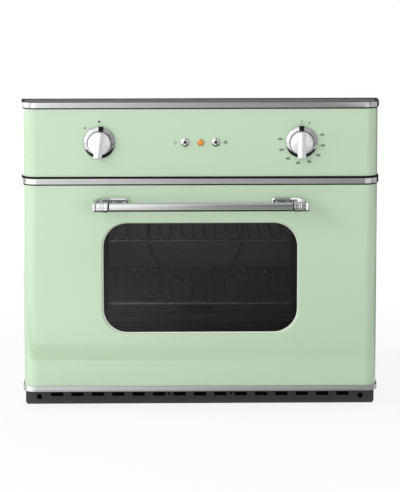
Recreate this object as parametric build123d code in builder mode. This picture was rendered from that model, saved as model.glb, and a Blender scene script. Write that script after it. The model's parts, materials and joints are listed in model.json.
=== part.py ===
from build123d import *
from math import cos, radians, sin
import os

# Built-in electric oven with a drop-down door, in millimetres, +Z up.
# The front faces -Y. Y = 0 is the face of the cabinet, Z = 0 is the shelf that
# the case stands on, and X = 0 is the middle of the width. The cavity sets the
# size of the case, the door and the fronts.

os.makedirs("parts", exist_ok=True)

# Oven cavity
cavity_half_width = 305.0
cavity_height = 385.0
cavity_depth = 470.0
cavity_sheet = 1.2
cavity_radius = 20.0

# Glass wool round the cavity
insulation_side = 38.0
insulation_top = 24.0
insulation_back = 45.0
insulation_gap = 0.4

# Case of folded sheet, with the air spaces round the wool
side_air = 12.8
plenum_height = 55.8
rear_air = 9.8
case_sheet = 1.0
case_flange = 14.0
base_sheet = 1.2
base_wall = 14.0
vent_slot = (60.0, 4.0)
vent_pitch = (90.0, 12.0)
vent_rows = 4
vent_drop = 110.0

# Front frame, which screws to the cabinet
frame_sheet = 3.0
frame_overhang = 16.0
frame_groove = (1.5, 0.5)
screw_inset = 7.5
screw_rise = 83.0
screw_drop = 39.0
screw_hole_radius = 2.75
air_window = (300.0, 34.0)

# Heights of the front, from the shelf up
grille_height = 33.0
grille_to_door = 4.0
door_below_cavity = 58.0
door_above_cavity = 19.0
door_to_panel = 3.0
panel_height = 146.0
top_trim_height = 12.0
door_trim_height = 15.0
bottom_trim_height = 12.0

# Painted fronts and the bright trims that wrap round both corners
front_overhang = 2.5
front_depth = 75.0
corner_radius = 28.0
front_sheet = 1.2
front_flange = 12.0
trim_proud = 3.0
trim_sheet = 1.2
trim_edge = 0.8
trim_lip = 10.0

# Convection fan in its recess
fan_recess_radius = 95.0
fan_recess_depth = 32.0
fan_radius = 80.0
fan_hub_radius = 16.0
fan_width = 20.0
fan_sheet = 1.2
fan_blades = 8
fan_back_gap = 6.0
fan_shaft_radius = 4.0
fan_cover_radius = 112.0
fan_cover_depth = 8.0
fan_cover_sheet = 1.2
fan_cover_slots = 8
fan_inlet_slot = (44.0, 6.0)
fan_outlet_slot = (34.0, 5.0)
fan_inlet_circle = 46.0
fan_outlet_circle = 90.0
running_clearance = 0.08
motor_stack = (58.0, 20.0, 50.0)
motor_stack_gap = 8.0
motor_plate = 2.0
motor_plate_margin = 3.0
motor_cap_radius = 20.0
motor_cap_length = 38.0
motor_leg = 6.0
motor_leg_spacing = (46.0, 40.0)
shaft_hole_gap = 1.0

# Heating elements
element_radius = 3.6
element_bend = 20.0
element_flange = (76.0, 2.0, 22.0)
element_hole = (62.0, 11.0)
element_lead_spacing = 50.0
broil_drop = 28.0
bake_rise = 18.0
element_side = 67.0
element_front = 60.0
element_rear = 42.0
element_tail = 22.0

# Oven lamp and temperature probe
lamp_side = 70.0
lamp_drop = 55.0
lamp_hole_radius = 22.0
lamp_holder_depth = 32.0
lamp_holder_wall = 1.5
lamp_lens_radius = 28.0
lamp_lens_dome = 9.0
lamp_lens_glass = 2.5
bulb_radius = 11.0
bulb_neck = 6.6
bulb_neck_length = 10.0
probe_side = 140.0
probe_drop = 44.0
probe_radius = 2.4
probe_length = 100.0
probe_flange = (40.0, 1.5, 14.0)

# Racks and the wire ladders that carry them
guide_wire = 2.5
guide_levels = 5
guide_first_rise = 45.5
guide_pitch = 69.5
guide_post_inset = 22.0
weld_depth = 0.3
lower_level = 1
upper_level = 3
rack_wire = 3.0
rack_cross_wire = 1.5
rack_wire_end = 2.0
rack_corner = 14.0
rack_side = 10.0
rack_front = 18.0
rack_rear = 17.0
rack_pitch = 24.0
rack_supports = 2
slide_clearance = 0.3
wire_sides = 8
cross_wire_sides = 6

# Door
door_to_frame = 6.0
window_side = 170.0
window_below = 128.7
window_above = 97.7
window_radius = 51.0
window_lip = 6.0
glass_sheet = 4.0
glass_overlap = 12.0
pack_sheet = 1.2
pack_margin = 3.0
pack_flange = 14.0
liner_sheet = 1.2
plateau_rise = 5.0
plateau_inset = 10.0
inner_window_inset = 8.0
gasket_width = 10.0
gasket_inset = 2.0
gasket_clearance = 0.3
gasket_bevel = 2.0
door_wool_gap = 1.0
door_wool_margin = 8.0

# Handle
handle_drop = 53.0
handle_reach = 62.0
handle_side = 147.5
handle_bar_radius = 9.5
handle_bar_wall = 1.5
handle_end_reach = 35.6
handle_groove = 2.8
handle_spigot = 14.0
spigot_clearance = 0.1
sleeve_radius = 11.2
sleeve_length = 9.0
neck_radius = 10.2
neck_bevel = (5.0, 3.0)
handle_band = 8.5
handle_band_height = 23.0
handle_band_edge = 2.0
handle_band_tip = 10.2
handle_foot = 78.0
handle_bend = 34.75
handle_screw_radius = 2.5
handle_screw_head = 5.0
handle_screw_head_height = 2.2
handle_screw_seat = 2.5
handle_screw_insets = (45.0, 68.0)
handle_screw_length = 16.0
screw_clearance = 0.1

# Door hinges
hinge_inset = 28.0
hinge_rise = 9.0
hinge_behind_front = 37.0
hinge_arm_sheet = 4.0
hinge_arm_height = 14.0
hinge_eye_radius = 8.0
hinge_pin_radius = 3.0
hinge_arm_reach = 98.0
hinge_side_gap = 1.0
cassette_half_width = 10.0
cassette_sheet = 1.5
cassette_height = 172.0
cassette_front_gap = 10.0
receiver_sheet = 1.5
receiver_gap = 0.4
receiver_rise = 27.0
receiver_tab = 4.0
roller_radius = 2.5
roller_y = 60.0
spring_radius = 6.0
spring_bore = 3.5
spring_length = 110.0

# Controls
knob_inset = 162.5
knob_skirt_radius = 34.0
knob_skirt_edge = 3.0
knob_skirt_top = 10.0
knob_dial_radius = 25.0
knob_dial_top = 16.0
knob_dial_bevel = 2.0
knob_grip_top = 27.0
knob_grip_widths = (9.0, 19.0)
knob_grip_reach = (24.0, 33.0)
knob_grip_taper = 7.0
knob_grip_corner = 2.0
knob_clearance = 1.0
knob_left_turn = 7.0
knob_index = (5.2, 9.2, 3.0)
shaft_radius = 3.0
shaft_flat = 1.5
shaft_tail = 22.0
tray_setback = 25.0
tray_sheet = 1.2
tray_side = 22.0
tray_margin = 4.0
tray_window = (214.0, 25.0)
bushing_radius = 4.9
bushing_length = 11.0
bushing_hole_gap = 1.0
control_body = (48.0, 34.0, 44.0)
wafer_size = (40.0, 30.0)
wafer_sheet = 3.0
wafer_pitch = 8.0
wafer_count = 4
wafer_post = 5.0
wafer_post_inset = 4.0
toggle_x = 32.5
toggle_body = (18.0, 20.0, 28.0)
toggle_bushing_radius = 6.0
toggle_bushing_bore = 4.0
toggle_bushing_length = 4.0
toggle_pivot_depth = 1.0
toggle_ball_radius = 3.6
toggle_stick_radius = 1.7
toggle_tip_radius = 2.4
toggle_length = 15.0
toggle_rest_angle = 13.0
bezel_radius = 9.5
bezel_height = 3.2
bezel_rim = 1.0
bezel_slope = 2.2
lens_radius = 6.0
lens_rise = 5.5
lens_wall = 1.2
lens_seat = 4.0
lens_shoulder = 1.0
pilot_length = 20.0
panel_fit = 0.2

# Bottom grille
grille_front = 25.0
grille_overhang = 1.0
grille_sheet = 1.5
grille_corner = 4.0
grille_flange = 12.0
grille_slots = 15
grille_slot_pitch = 44.0
grille_slot = (26.5, 8.3)
grille_slot_drop = 12.2
grille_hole_radius = 6.0
grille_hole_inset = 29.0
grille_hole_drop = 17.0
grille_screw_x = 66.0
grille_screw_drop = 11.3
grille_screw_radius = 1.6
grille_screw_head = 2.8
grille_screw_head_height = 1.2
grille_screw_length = 7.0

# Supply junction box
junction_inset = 118.0
junction_size = (120.0, 64.0, 58.0)
junction_sheet = 1.5
inlet_radius = 11.1
inlet_rise = 31.0
inlet_opening_radius = 20.0

# Cooling fan over the cavity
blower_inset = 170.0
blower_margin = 3.2
wheel_length = 180.0
wheel_blades = 12
wheel_blade = (1.0, 5.0)
wheel_disc = 1.5
wheel_shaft_radius = 3.0
scroll_gap = 2.5
scroll_sheet = 1.2
scroll_end_gap = 3.0
blower_motor = (38.0, 44.0, 40.0)
blower_motor_plate = 13.0
blower_motor_radius = 16.0
blower_shaft_end = 22.0

# Places and sizes that follow from those above
door_bottom = grille_height + grille_to_door
cavity_floor = door_bottom + door_below_cavity
cavity_top = cavity_floor + cavity_height
cavity_middle = (cavity_floor + cavity_top) / 2
door_top = cavity_top + door_above_cavity
panel_bottom = door_top + door_to_panel
panel_top = panel_bottom + panel_height
control_z = (panel_bottom + panel_top) / 2
oven_top = panel_top + top_trim_height
recess_back = cavity_depth + fan_recess_depth
wool_half = cavity_half_width + cavity_sheet + insulation_side
wool_back = cavity_depth + cavity_sheet + insulation_back
wool_top = cavity_top + cavity_sheet + insulation_top
case_half_width = wool_half + side_air + case_sheet
case_depth = wool_back + motor_cap_length + rear_air + case_sheet
back_inner = case_depth - case_sheet
roof = wool_top + plenum_height
case_top = roof + case_sheet
frame_half_width = case_half_width + frame_overhang
frame_front = -frame_sheet
front_half_width = frame_half_width + front_overhang
front_face = -front_depth
trim_face = front_face - trim_proud
trim_half_width = front_half_width + trim_proud
trim_radius = corner_radius + trim_proud
broil_z = cavity_top - broil_drop
bake_z = cavity_floor + bake_rise
lamp_x = cavity_half_width - lamp_side
lamp_z = cavity_top - lamp_drop
probe_x = probe_side - cavity_half_width
probe_z = cavity_top - probe_drop
rack_half_width = cavity_half_width - rack_side
rack_depth = cavity_depth - rack_front - rack_rear
rack_back = rack_front + rack_depth
wire_flat = cos(radians(180 / wire_sides))
cross_wire_flat = cos(radians(180 / cross_wire_sides))
door_rear = frame_front - door_to_frame
window_half_width = front_half_width - window_side
window_bottom = door_bottom + window_below
window_top = door_top - window_above
window_height = window_top - window_bottom
window_middle = (window_bottom + window_top) / 2
glass_front = front_face + window_lip
pack_front = glass_front + glass_sheet
liner_front = door_rear - liner_sheet
plateau_face = door_rear + plateau_rise
inner_glass_back = plateau_face - liner_sheet
inner_glass_front = inner_glass_back - glass_sheet
handle_z = door_top - handle_drop
handle_y = front_face - handle_reach
handle_half_length = front_half_width - handle_side
handle_bar_half_length = handle_half_length - handle_end_reach
handle_screw_spots = [handle_half_length - inset for inset in handle_screw_insets]
hinge_x = case_half_width - hinge_inset
pivot_y = front_face + hinge_behind_front
pivot_z = door_bottom + hinge_rise
arm_bottom = pivot_z - hinge_arm_height / 2
arm_top = pivot_z + hinge_arm_height / 2
cassette_front = pivot_y - hinge_eye_radius - cassette_front_gap
knob_x = front_half_width - knob_inset
tray_front = front_face + tray_setback
grille_face = -grille_front
grille_half_width = frame_half_width + grille_overhang
grille_screw_z = grille_height - grille_screw_drop
junction_x = case_half_width - junction_inset
inlet_z = inlet_rise
blower_y = case_depth - blower_inset
blower_z = (wool_top + roof) / 2
scroll_radius = plenum_height / 2 - blower_margin - scroll_sheet
wheel_radius = scroll_radius - scroll_gap


def facing(y):
    """Plane at depth y that faces the viewer, with sketch axes X and Z."""
    return Plane.XZ.offset(-y)


def side_on(x):
    """Plane square to X at x, with sketch axes Y and Z."""
    return Plane.YZ.offset(x)


def knob_facing(x, y, z, turn):
    """Plane across a knob at depth y, turned clockwise by so many degrees."""
    angle = radians(turn)
    return Plane(origin=(x, y, z), x_dir=(cos(angle), 0, -sin(angle)), z_dir=(0, -1, 0))


def wrap_face(half_width, front, rear, radius):
    """Plan of a front that turns back round its two front corners."""
    with BuildSketch() as plan:
        with Locations((0, (front + rear) / 2)):
            Rectangle(2 * half_width, rear - front)
        fillet(plan.vertices().group_by(Axis.Y)[0], radius)
    return plan.sketch


def wrap_band(half_width, front, rear, radius, sheet):
    """Plan of the sheet that makes such a front, open at the rear."""
    with BuildSketch() as band:
        add(wrap_face(half_width, front, rear, radius))
        inner = max(radius - sheet, 0.5)
        open_rear = rear + sheet
        add(
            wrap_face(half_width - sheet, front + sheet, open_rear, inner),
            mode=Mode.SUBTRACT,
        )
    return band.sketch


def outline(points):
    """Face inside straight edges through the points."""
    with BuildSketch() as face:
        with BuildLine():
            Polyline(*points, close=True)
        make_face()
    return face.sketch


def rounded_loop(width, depth, radius):
    """Closed loop round a level rectangle with rounded corners."""
    with BuildSketch() as loop:
        RectangleRounded(width, depth, radius)
    return loop.sketch.face().outer_wire()


def block(x, y, z, mode=Mode.ADD):
    """Box between two limits along each axis."""
    limits = (x, y, z)
    with Locations(tuple(sum(pair) / 2 for pair in limits)):
        Box(*[high - low for low, high in limits], mode=mode)


def rod(start, end, radius, mode=Mode.ADD):
    """Round bar from one point to another."""
    run = Vector(end) - Vector(start)
    with Locations(Plane(origin=start, z_dir=run)):
        Cylinder(
            radius,
            run.length,
            align=(Align.CENTER, Align.CENTER, Align.MIN),
            mode=mode,
        )


def wire(start, end, radius, sides, across=(1, 0, 0)):
    """Straight wire drawn with a few flat sides, one of them square to Z."""
    run = Vector(end) - Vector(start)
    with BuildSketch(Plane(origin=start, x_dir=across, z_dir=run)) as section:
        RegularPolygon(radius, sides, rotation=90 + 180 / sides)
    extrude(section.sketch, amount=run.length)


def turned(x, z, profile):
    """Piece turned about an axis along Y, from its (radius, Y) points."""
    with BuildSketch(Plane(origin=(x, 0, z), x_dir=(1, 0, 0), z_dir=(0, 0, 1))) as section:
        add(outline(profile))
    revolve(section.sketch, axis=Axis((x, 0, z), (0, 1, 0)))


def lever_plane(x, y, z, dip):
    """Plane through a lever's pivot: radius along X, reach along the lever."""
    angle = radians(dip)
    return Plane(origin=(x, y, z), x_dir=(1, 0, 0), z_dir=(0, sin(angle), -cos(angle)))


def soften_front(trim):
    """Bevel the front edges of a bright trim from side to side."""
    rims = trim.edges().group_by(Axis.Z)
    for rim in (rims[0], rims[-1]):
        arcs = rim.filter_by(GeomType.CIRCLE)
        chamfer(arcs.sort_by(Edge.length)[-1:], trim_edge)


def keep(builder, name):
    """Label a finished piece and write it out."""
    builder.part.label = name
    export_step(builder.part, f"parts/{name}.step")


# Case: base, sides, back and top cover
tab_hole_radius = grille_screw_radius + panel_fit
with BuildPart() as base_pan:
    tray_half = case_half_width - case_sheet
    block((-tray_half, tray_half), (0, back_inner), (0, base_wall))
    inner_half = tray_half - base_sheet
    block(
        (-inner_half, inner_half),
        (-base_sheet, back_inner - base_sheet),
        (base_sheet, base_wall + base_sheet),
        mode=Mode.SUBTRACT,
    )
    lip_front = grille_face + grille_sheet
    block((-tray_half, tray_half), (lip_front, 0), (0, base_sheet))
    for side in (-1, 1):
        tab = side * grille_screw_x
        block(
            (tab - case_flange / 2, tab + case_flange / 2),
            (lip_front, lip_front + base_sheet),
            (0, grille_screw_z + case_flange / 2),
        )
        rod(
            (tab, lip_front - base_sheet, grille_screw_z),
            (tab, lip_front + 2 * base_sheet, grille_screw_z),
            tab_hole_radius,
            mode=Mode.SUBTRACT,
        )
keep(base_pan, "base_pan")

for side, name in ((-1, "side_panel_left"), (1, "side_panel_right")):
    with BuildPart() as side_panel:
        outer = side * case_half_width
        inner = side * (case_half_width - case_sheet)
        turned_in = side * (case_half_width - case_flange)
        block(sorted((inner, outer)), (0, back_inner), (0, roof))
        for edge in (0, back_inner - case_sheet):
            block(
                sorted((turned_in, inner)),
                (edge, edge + case_sheet),
                (base_wall, roof),
            )
        with BuildSketch(side_on(outer)):
            with Locations((case_depth / 2, case_top - vent_drop)):
                with GridLocations(*vent_pitch, 2, vent_rows):
                    Rectangle(*vent_slot)
        extrude(amount=case_sheet * 2, both=True, mode=Mode.SUBTRACT)
    keep(side_panel, name)

with BuildPart() as back_panel:
    block(
        (-case_half_width, case_half_width),
        (back_inner, case_depth),
        (0, roof),
    )
    with BuildSketch(facing(case_depth)):
        with Locations((0, case_top - vent_drop)):
            with GridLocations(*vent_pitch, 3, vent_rows):
                Rectangle(*vent_slot)
        with Locations((junction_x, inlet_z)):
            Circle(inlet_opening_radius)
    extrude(amount=case_sheet * 2, mode=Mode.SUBTRACT)
keep(back_panel, "back_panel")

with BuildPart() as top_cover:
    block(
        (-case_half_width, case_half_width),
        (0, case_depth),
        (roof, case_top),
    )
    with BuildSketch(Plane.XY.offset(case_top)):
        with Locations((0, blower_y)):
            with GridLocations(vent_pitch[1], 0, 9, 1):
                Rectangle(vent_slot[1], vent_slot[0])
    extrude(amount=-2 * case_sheet, mode=Mode.SUBTRACT)
keep(top_cover, "top_cover")

# Front frame round the mouth of the cavity
with BuildPart() as front_frame:
    block(
        (-frame_half_width, frame_half_width),
        (frame_front, 0),
        (base_sheet, panel_top),
    )
    screw_x = frame_half_width - screw_inset
    with BuildSketch(facing(0)):
        with Locations((0, cavity_middle)):
            RectangleRounded(2 * cavity_half_width, cavity_height, cavity_radius)
        with Locations((0, blower_z)):
            Rectangle(*air_window)
        with Locations((-hinge_x, pivot_z), (hinge_x, pivot_z)):
            Rectangle(
                hinge_arm_sheet + 2 * hinge_side_gap,
                hinge_arm_height + 2 * hinge_side_gap,
            )
        for z in (door_bottom + screw_rise, door_top - screw_drop):
            with Locations((-screw_x, z), (screw_x, z)):
                Circle(screw_hole_radius)
    extrude(amount=frame_sheet, mode=Mode.SUBTRACT)
    for side in (-1, 1):
        block(
            sorted((side * case_half_width, side * (case_half_width + frame_groove[0]))),
            (-frame_groove[1], 0),
            (base_sheet, panel_top),
            mode=Mode.SUBTRACT,
        )
keep(front_frame, "front_frame")

# Cavity with the fan recess pressed into its back
leads = [side * element_lead_spacing / 2 for side in (-1, 1)]
shaft_hole_radius = fan_shaft_radius + shaft_hole_gap
with BuildPart() as cavity:
    with BuildSketch(facing(0)):
        with Locations((0, cavity_middle)):
            RectangleRounded(
                2 * (cavity_half_width + cavity_sheet),
                cavity_height + 2 * cavity_sheet,
                cavity_radius + cavity_sheet,
            )
    extrude(amount=-(cavity_depth + cavity_sheet))
    rod(
        (0, cavity_depth, cavity_middle),
        (0, recess_back + cavity_sheet, cavity_middle),
        fan_recess_radius + cavity_sheet,
    )
    with BuildSketch(facing(0)):
        with Locations((0, cavity_middle)):
            RectangleRounded(2 * cavity_half_width, cavity_height, cavity_radius)
    extrude(amount=-cavity_depth, mode=Mode.SUBTRACT)
    rod(
        (0, cavity_depth - cavity_sheet, cavity_middle),
        (0, recess_back, cavity_middle),
        fan_recess_radius,
        mode=Mode.SUBTRACT,
    )
    with BuildSketch(facing(cavity_depth + cavity_sheet)):
        with Locations((lamp_x, lamp_z)):
            Circle(lamp_hole_radius + panel_fit)
        with Locations((probe_x, probe_z)):
            Circle(probe_radius + panel_fit)
        with Locations((0, broil_z), (0, bake_z)):
            Rectangle(*element_hole)
    extrude(amount=2 * cavity_sheet, mode=Mode.SUBTRACT)
    rod(
        (0, recess_back - cavity_sheet, cavity_middle),
        (0, recess_back + 2 * cavity_sheet, cavity_middle),
        shaft_hole_radius,
        mode=Mode.SUBTRACT,
    )
keep(cavity, "cavity")

leg_span_x, leg_span_z = motor_leg_spacing
with BuildPart() as cavity_insulation:
    wool_height = cavity_height + 2 * (cavity_sheet + insulation_top)
    wrapped = cavity_sheet + insulation_gap
    with BuildSketch(facing(case_sheet)):
        with Locations((0, cavity_middle)):
            Rectangle(2 * wool_half, wool_height)
            RectangleRounded(
                2 * (cavity_half_width + wrapped),
                cavity_height + 2 * wrapped,
                cavity_radius + wrapped,
                mode=Mode.SUBTRACT,
            )
    extrude(amount=-(cavity_depth + wrapped - case_sheet))
    with BuildSketch(facing(cavity_depth + wrapped)):
        with Locations((0, cavity_middle)):
            Rectangle(2 * wool_half, wool_height)
            Rectangle(
                leg_span_x + motor_leg + 2 * insulation_gap,
                leg_span_z + motor_leg + 2 * insulation_gap,
                mode=Mode.SUBTRACT,
            )
        with Locations((lamp_x, lamp_z)):
            Circle(lamp_hole_radius + insulation_gap, mode=Mode.SUBTRACT)
        with Locations((probe_x, probe_z)):
            Circle(probe_radius + insulation_gap, mode=Mode.SUBTRACT)
        with Locations((0, broil_z), (0, bake_z)):
            Rectangle(*element_hole, mode=Mode.SUBTRACT)
    extrude(amount=-(insulation_back - insulation_gap))
    rod(
        (0, cavity_depth, cavity_middle),
        (0, recess_back + wrapped, cavity_middle),
        fan_recess_radius + wrapped,
        mode=Mode.SUBTRACT,
    )
keep(cavity_insulation, "cavity_insulation")

# Wire ladders on the cavity's sides
levels = [cavity_floor + guide_first_rise + i * guide_pitch for i in range(guide_levels)]
runner_drop = (rack_wire + guide_wire) * wire_flat + slide_clearance
guide_posts = (
    rack_front + guide_post_inset,
    rack_front + rack_depth / 2,
    rack_back - guide_post_inset,
)
with BuildPart() as rack_guides:
    for side in (-1, 1):
        post_x = side * (cavity_half_width - guide_wire)
        runner_x = post_x - side * (2 * guide_wire * wire_flat - weld_depth)
        low = levels[0] - runner_drop - guide_wire
        high = levels[-1] + rack_wire
        for y in guide_posts:
            wire((post_x, y, low), (post_x, y, high), guide_wire, wire_sides)
        for level in levels:
            z = level - runner_drop
            wire((runner_x, rack_front, z), (runner_x, rack_back, z), guide_wire, wire_sides)
keep(rack_guides, "rack_guides")

# Wire racks
cross_wires = int(2 * rack_half_width / rack_pitch)
for name, level in (("lower_rack", lower_level), ("upper_rack", upper_level)):
    with BuildPart() as rack:
        z = levels[level]
        rim = rounded_loop(2 * rack_half_width, rack_depth, rack_corner)
        rim = rim.moved(Location((0, rack_front + rack_depth / 2, z)))
        with BuildSketch(Plane(origin=rim @ 0, x_dir=(0, 0, 1), z_dir=rim % 0)):
            RegularPolygon(rack_wire, wire_sides, rotation=180 / wire_sides)
        sweep(path=rim)
        wire_z = z + rack_wire * wire_flat + rack_cross_wire * cross_wire_flat - weld_depth
        for i in range(cross_wires):
            x = (i - (cross_wires - 1) / 2) * rack_pitch
            wire(
                (x, rack_front - rack_wire_end, wire_z),
                (x, rack_back + rack_wire_end, wire_z),
                rack_cross_wire,
                cross_wire_sides,
            )
        for i in range(rack_supports):
            y = rack_front + rack_depth * (i + 1) / (rack_supports + 1)
            ends = [(side * rack_half_width, y, z) for side in (-1, 1)]
            wire(*ends, rack_wire, wire_sides, across=(0, 1, 0))
    keep(rack, name)

# Heating elements: one loop each, with its flange on the cavity's back
element_half_width = cavity_half_width - element_side
element_back = cavity_depth - element_rear
for name, z in (("broil_element", broil_z), ("bake_element", bake_z)):
    with BuildPart() as element:
        tail = cavity_depth + element_tail
        with BuildLine() as loop:
            FilletPolyline(
                (leads[0], tail, z),
                (leads[0], element_back, z),
                (-element_half_width, element_back, z),
                (-element_half_width, element_front, z),
                (element_half_width, element_front, z),
                (element_half_width, element_back, z),
                (leads[1], element_back, z),
                (leads[1], tail, z),
                radius=element_bend,
            )
        section = Plane(origin=loop.line @ 0, x_dir=(0, 0, 1), z_dir=loop.line % 0)
        with BuildSketch(section):
            RegularPolygon(element_radius, wire_sides, rotation=180 / wire_sides)
        sweep()
        with Locations((0, cavity_depth - element_flange[1] / 2, z)):
            Box(*element_flange)
    keep(element, name)

# Convection fan, its shaft, cover and motor
with BuildPart() as convection_fan:
    disc_back = recess_back - fan_back_gap
    disc_front = disc_back - fan_sheet
    hub_front = disc_front - fan_width / 2
    rod((0, disc_front, cavity_middle), (0, disc_back, cavity_middle), fan_radius)
    rod((0, hub_front, cavity_middle), (0, disc_back, cavity_middle), fan_hub_radius)
    blade_length = fan_radius - 2 * fan_hub_radius
    with BuildSketch(facing(disc_front)):
        with Locations((0, cavity_middle)):
            with PolarLocations(fan_radius - blade_length / 2, fan_blades):
                Rectangle(blade_length, fan_sheet)
    extrude(amount=fan_width)
    rod(
        (0, hub_front, cavity_middle),
        (0, disc_back, cavity_middle),
        fan_shaft_radius,
        mode=Mode.SUBTRACT,
    )
keep(convection_fan, "convection_fan")

motor_front = wool_back
motor_rear = motor_front + motor_cap_length
with BuildPart() as fan_shaft:
    shaft_rear = motor_rear - fan_back_gap
    rod((0, hub_front, cavity_middle), (0, shaft_rear, cavity_middle), fan_shaft_radius)
keep(fan_shaft, "fan_shaft")

with BuildPart() as fan_cover:
    front = cavity_depth - fan_cover_depth
    edge = fan_cover_radius
    turned(
        0,
        cavity_middle,
        [
            (0, front),
            (edge - fan_cover_depth, front),
            (edge, cavity_depth - fan_cover_sheet),
            (edge + fan_cover_depth, cavity_depth - fan_cover_sheet),
            (edge + fan_cover_depth, cavity_depth),
            (edge - fan_cover_sheet, cavity_depth),
            (edge - fan_cover_depth - fan_cover_sheet, front + fan_cover_sheet),
            (0, front + fan_cover_sheet),
        ],
    )
    with BuildSketch(facing(cavity_depth)):
        with Locations((0, cavity_middle)):
            with PolarLocations(fan_inlet_circle, fan_cover_slots):
                Rectangle(*fan_inlet_slot)
            with PolarLocations(fan_outlet_circle, fan_cover_slots):
                Rectangle(*reversed(fan_outlet_slot))
    extrude(amount=2 * fan_cover_depth, mode=Mode.SUBTRACT)
keep(fan_cover, "fan_cover")

with BuildPart() as fan_motor:
    width, stack, height = motor_stack
    stack_front = motor_front + motor_stack_gap
    plate_x = width / 2 + motor_plate_margin
    plate_z = height / 2 + motor_plate_margin
    block(
        (-plate_x, plate_x),
        (motor_front, motor_front + motor_plate),
        (cavity_middle - plate_z, cavity_middle + plate_z),
    )
    rod(
        (0, motor_front, cavity_middle),
        (0, motor_rear, cavity_middle),
        motor_cap_radius,
    )
    block(
        (-width / 2, width / 2),
        (stack_front, stack_front + stack),
        (cavity_middle - height / 2, cavity_middle + height / 2),
    )
    with BuildSketch(facing(recess_back + cavity_sheet)):
        with Locations((0, cavity_middle)):
            with GridLocations(leg_span_x, leg_span_z, 2, 2):
                Rectangle(motor_leg, motor_leg)
    extrude(amount=-(stack_front - recess_back - cavity_sheet))
    rod(
        (0, motor_front, cavity_middle),
        (0, motor_rear, cavity_middle),
        fan_shaft_radius + running_clearance,
        mode=Mode.SUBTRACT,
    )
keep(fan_motor, "fan_motor")

# Oven lamp: holder behind the back wall, bulb and glass lens
with BuildPart() as lamp_holder:
    wall = lamp_holder_wall
    rim_radius = lamp_lens_radius - wall
    cup_bottom = cavity_depth + lamp_holder_depth
    turned(
        lamp_x,
        lamp_z,
        [
            (lamp_hole_radius - wall, cavity_depth - wall),
            (rim_radius, cavity_depth - wall),
            (rim_radius, cavity_depth),
            (lamp_hole_radius, cavity_depth),
            (lamp_hole_radius, cup_bottom),
            (0, cup_bottom),
            (0, cup_bottom - 2 * wall),
            (lamp_hole_radius - wall, cup_bottom - 2 * wall),
        ],
    )
keep(lamp_holder, "lamp_holder")

with BuildPart() as lamp_bulb:
    base = cup_bottom - 2 * lamp_holder_wall
    tip = cavity_depth - 2 * lamp_holder_wall
    shoulder = base - bulb_neck_length
    belly = (shoulder + tip) / 2
    turned(
        lamp_x,
        lamp_z,
        [
            (0, base),
            (bulb_neck, base),
            (bulb_neck, shoulder),
            (bulb_radius, belly),
            (bulb_neck, tip),
            (0, tip),
        ],
    )
keep(lamp_bulb, "lamp_bulb")

with BuildPart() as lamp_lens:
    back = cavity_depth - lamp_holder_wall
    glass = lamp_lens_glass
    dome_radius = lamp_lens_radius - 3 * glass
    turned(
        lamp_x,
        lamp_z,
        [
            (lamp_lens_radius, back),
            (lamp_lens_radius, back - glass),
            (dome_radius, back - lamp_lens_dome),
            (0, back - lamp_lens_dome),
            (0, back - lamp_lens_dome + glass),
            (dome_radius - glass, back - lamp_lens_dome + glass),
            (lamp_lens_radius - 2 * glass, back),
        ],
    )
keep(lamp_lens, "lamp_lens")

with BuildPart() as temperature_probe:
    rod(
        (probe_x, cavity_depth - probe_length, probe_z),
        (probe_x, cavity_depth + insulation_back, probe_z),
        probe_radius,
    )
    with Locations((probe_x, cavity_depth - probe_flange[1] / 2, probe_z)):
        Box(*probe_flange)
keep(temperature_probe, "temperature_probe")

# Woven seal round the mouth
with BuildPart() as door_gasket:
    seal_front = door_rear + gasket_clearance
    seal_half = cavity_half_width + gasket_inset
    seal_height = cavity_height + 2 * gasket_inset
    with BuildSketch(facing(frame_front)):
        with Locations((0, cavity_middle)):
            RectangleRounded(
                2 * (seal_half + gasket_width),
                seal_height + 2 * gasket_width,
                cavity_radius + gasket_inset + gasket_width,
            )
            RectangleRounded(
                2 * seal_half,
                seal_height,
                cavity_radius + gasket_inset,
                mode=Mode.SUBTRACT,
            )
    extrude(amount=frame_front - seal_front)
    chamfer(door_gasket.faces().sort_by(Axis.Y)[0].edges(), gasket_bevel)
keep(door_gasket, "door_gasket")

# Hinge arms fixed to the case, and the receivers that hold them
with BuildPart() as hinge_arms:
    for side in (-1, 1):
        x = side * hinge_x
        with BuildSketch(side_on(x - hinge_arm_sheet / 2)):
            with Locations((pivot_y, pivot_z)):
                Circle(hinge_eye_radius)
            with Locations(((pivot_y + hinge_arm_reach) / 2, pivot_z)):
                Rectangle(hinge_arm_reach - pivot_y, hinge_arm_height)
            with Locations((pivot_y, pivot_z)):
                Circle(hinge_pin_radius + running_clearance, mode=Mode.SUBTRACT)
        extrude(amount=hinge_arm_sheet)
keep(hinge_arms, "hinge_arms")

with BuildPart() as hinge_receivers:
    inner = hinge_arm_sheet / 2 + receiver_gap
    outer = inner + receiver_sheet
    floor = arm_bottom - receiver_sheet
    receiver_top = door_bottom + receiver_rise
    roller_z = arm_top + roller_radius
    for side in (-1, 1):
        x = side * hinge_x
        block((x - outer, x + outer), (0, hinge_arm_reach), (floor, receiver_top))
        block(
            (x - case_flange, x + case_flange),
            (0, receiver_sheet),
            (floor - receiver_tab, receiver_top),
        )
        block(
            (x - inner, x + inner),
            (0, hinge_arm_reach),
            (arm_bottom, receiver_top),
            mode=Mode.SUBTRACT,
        )
        rod((x - outer, roller_y, roller_z), (x + outer, roller_y, roller_z), roller_radius)
keep(hinge_receivers, "hinge_receivers")

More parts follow.
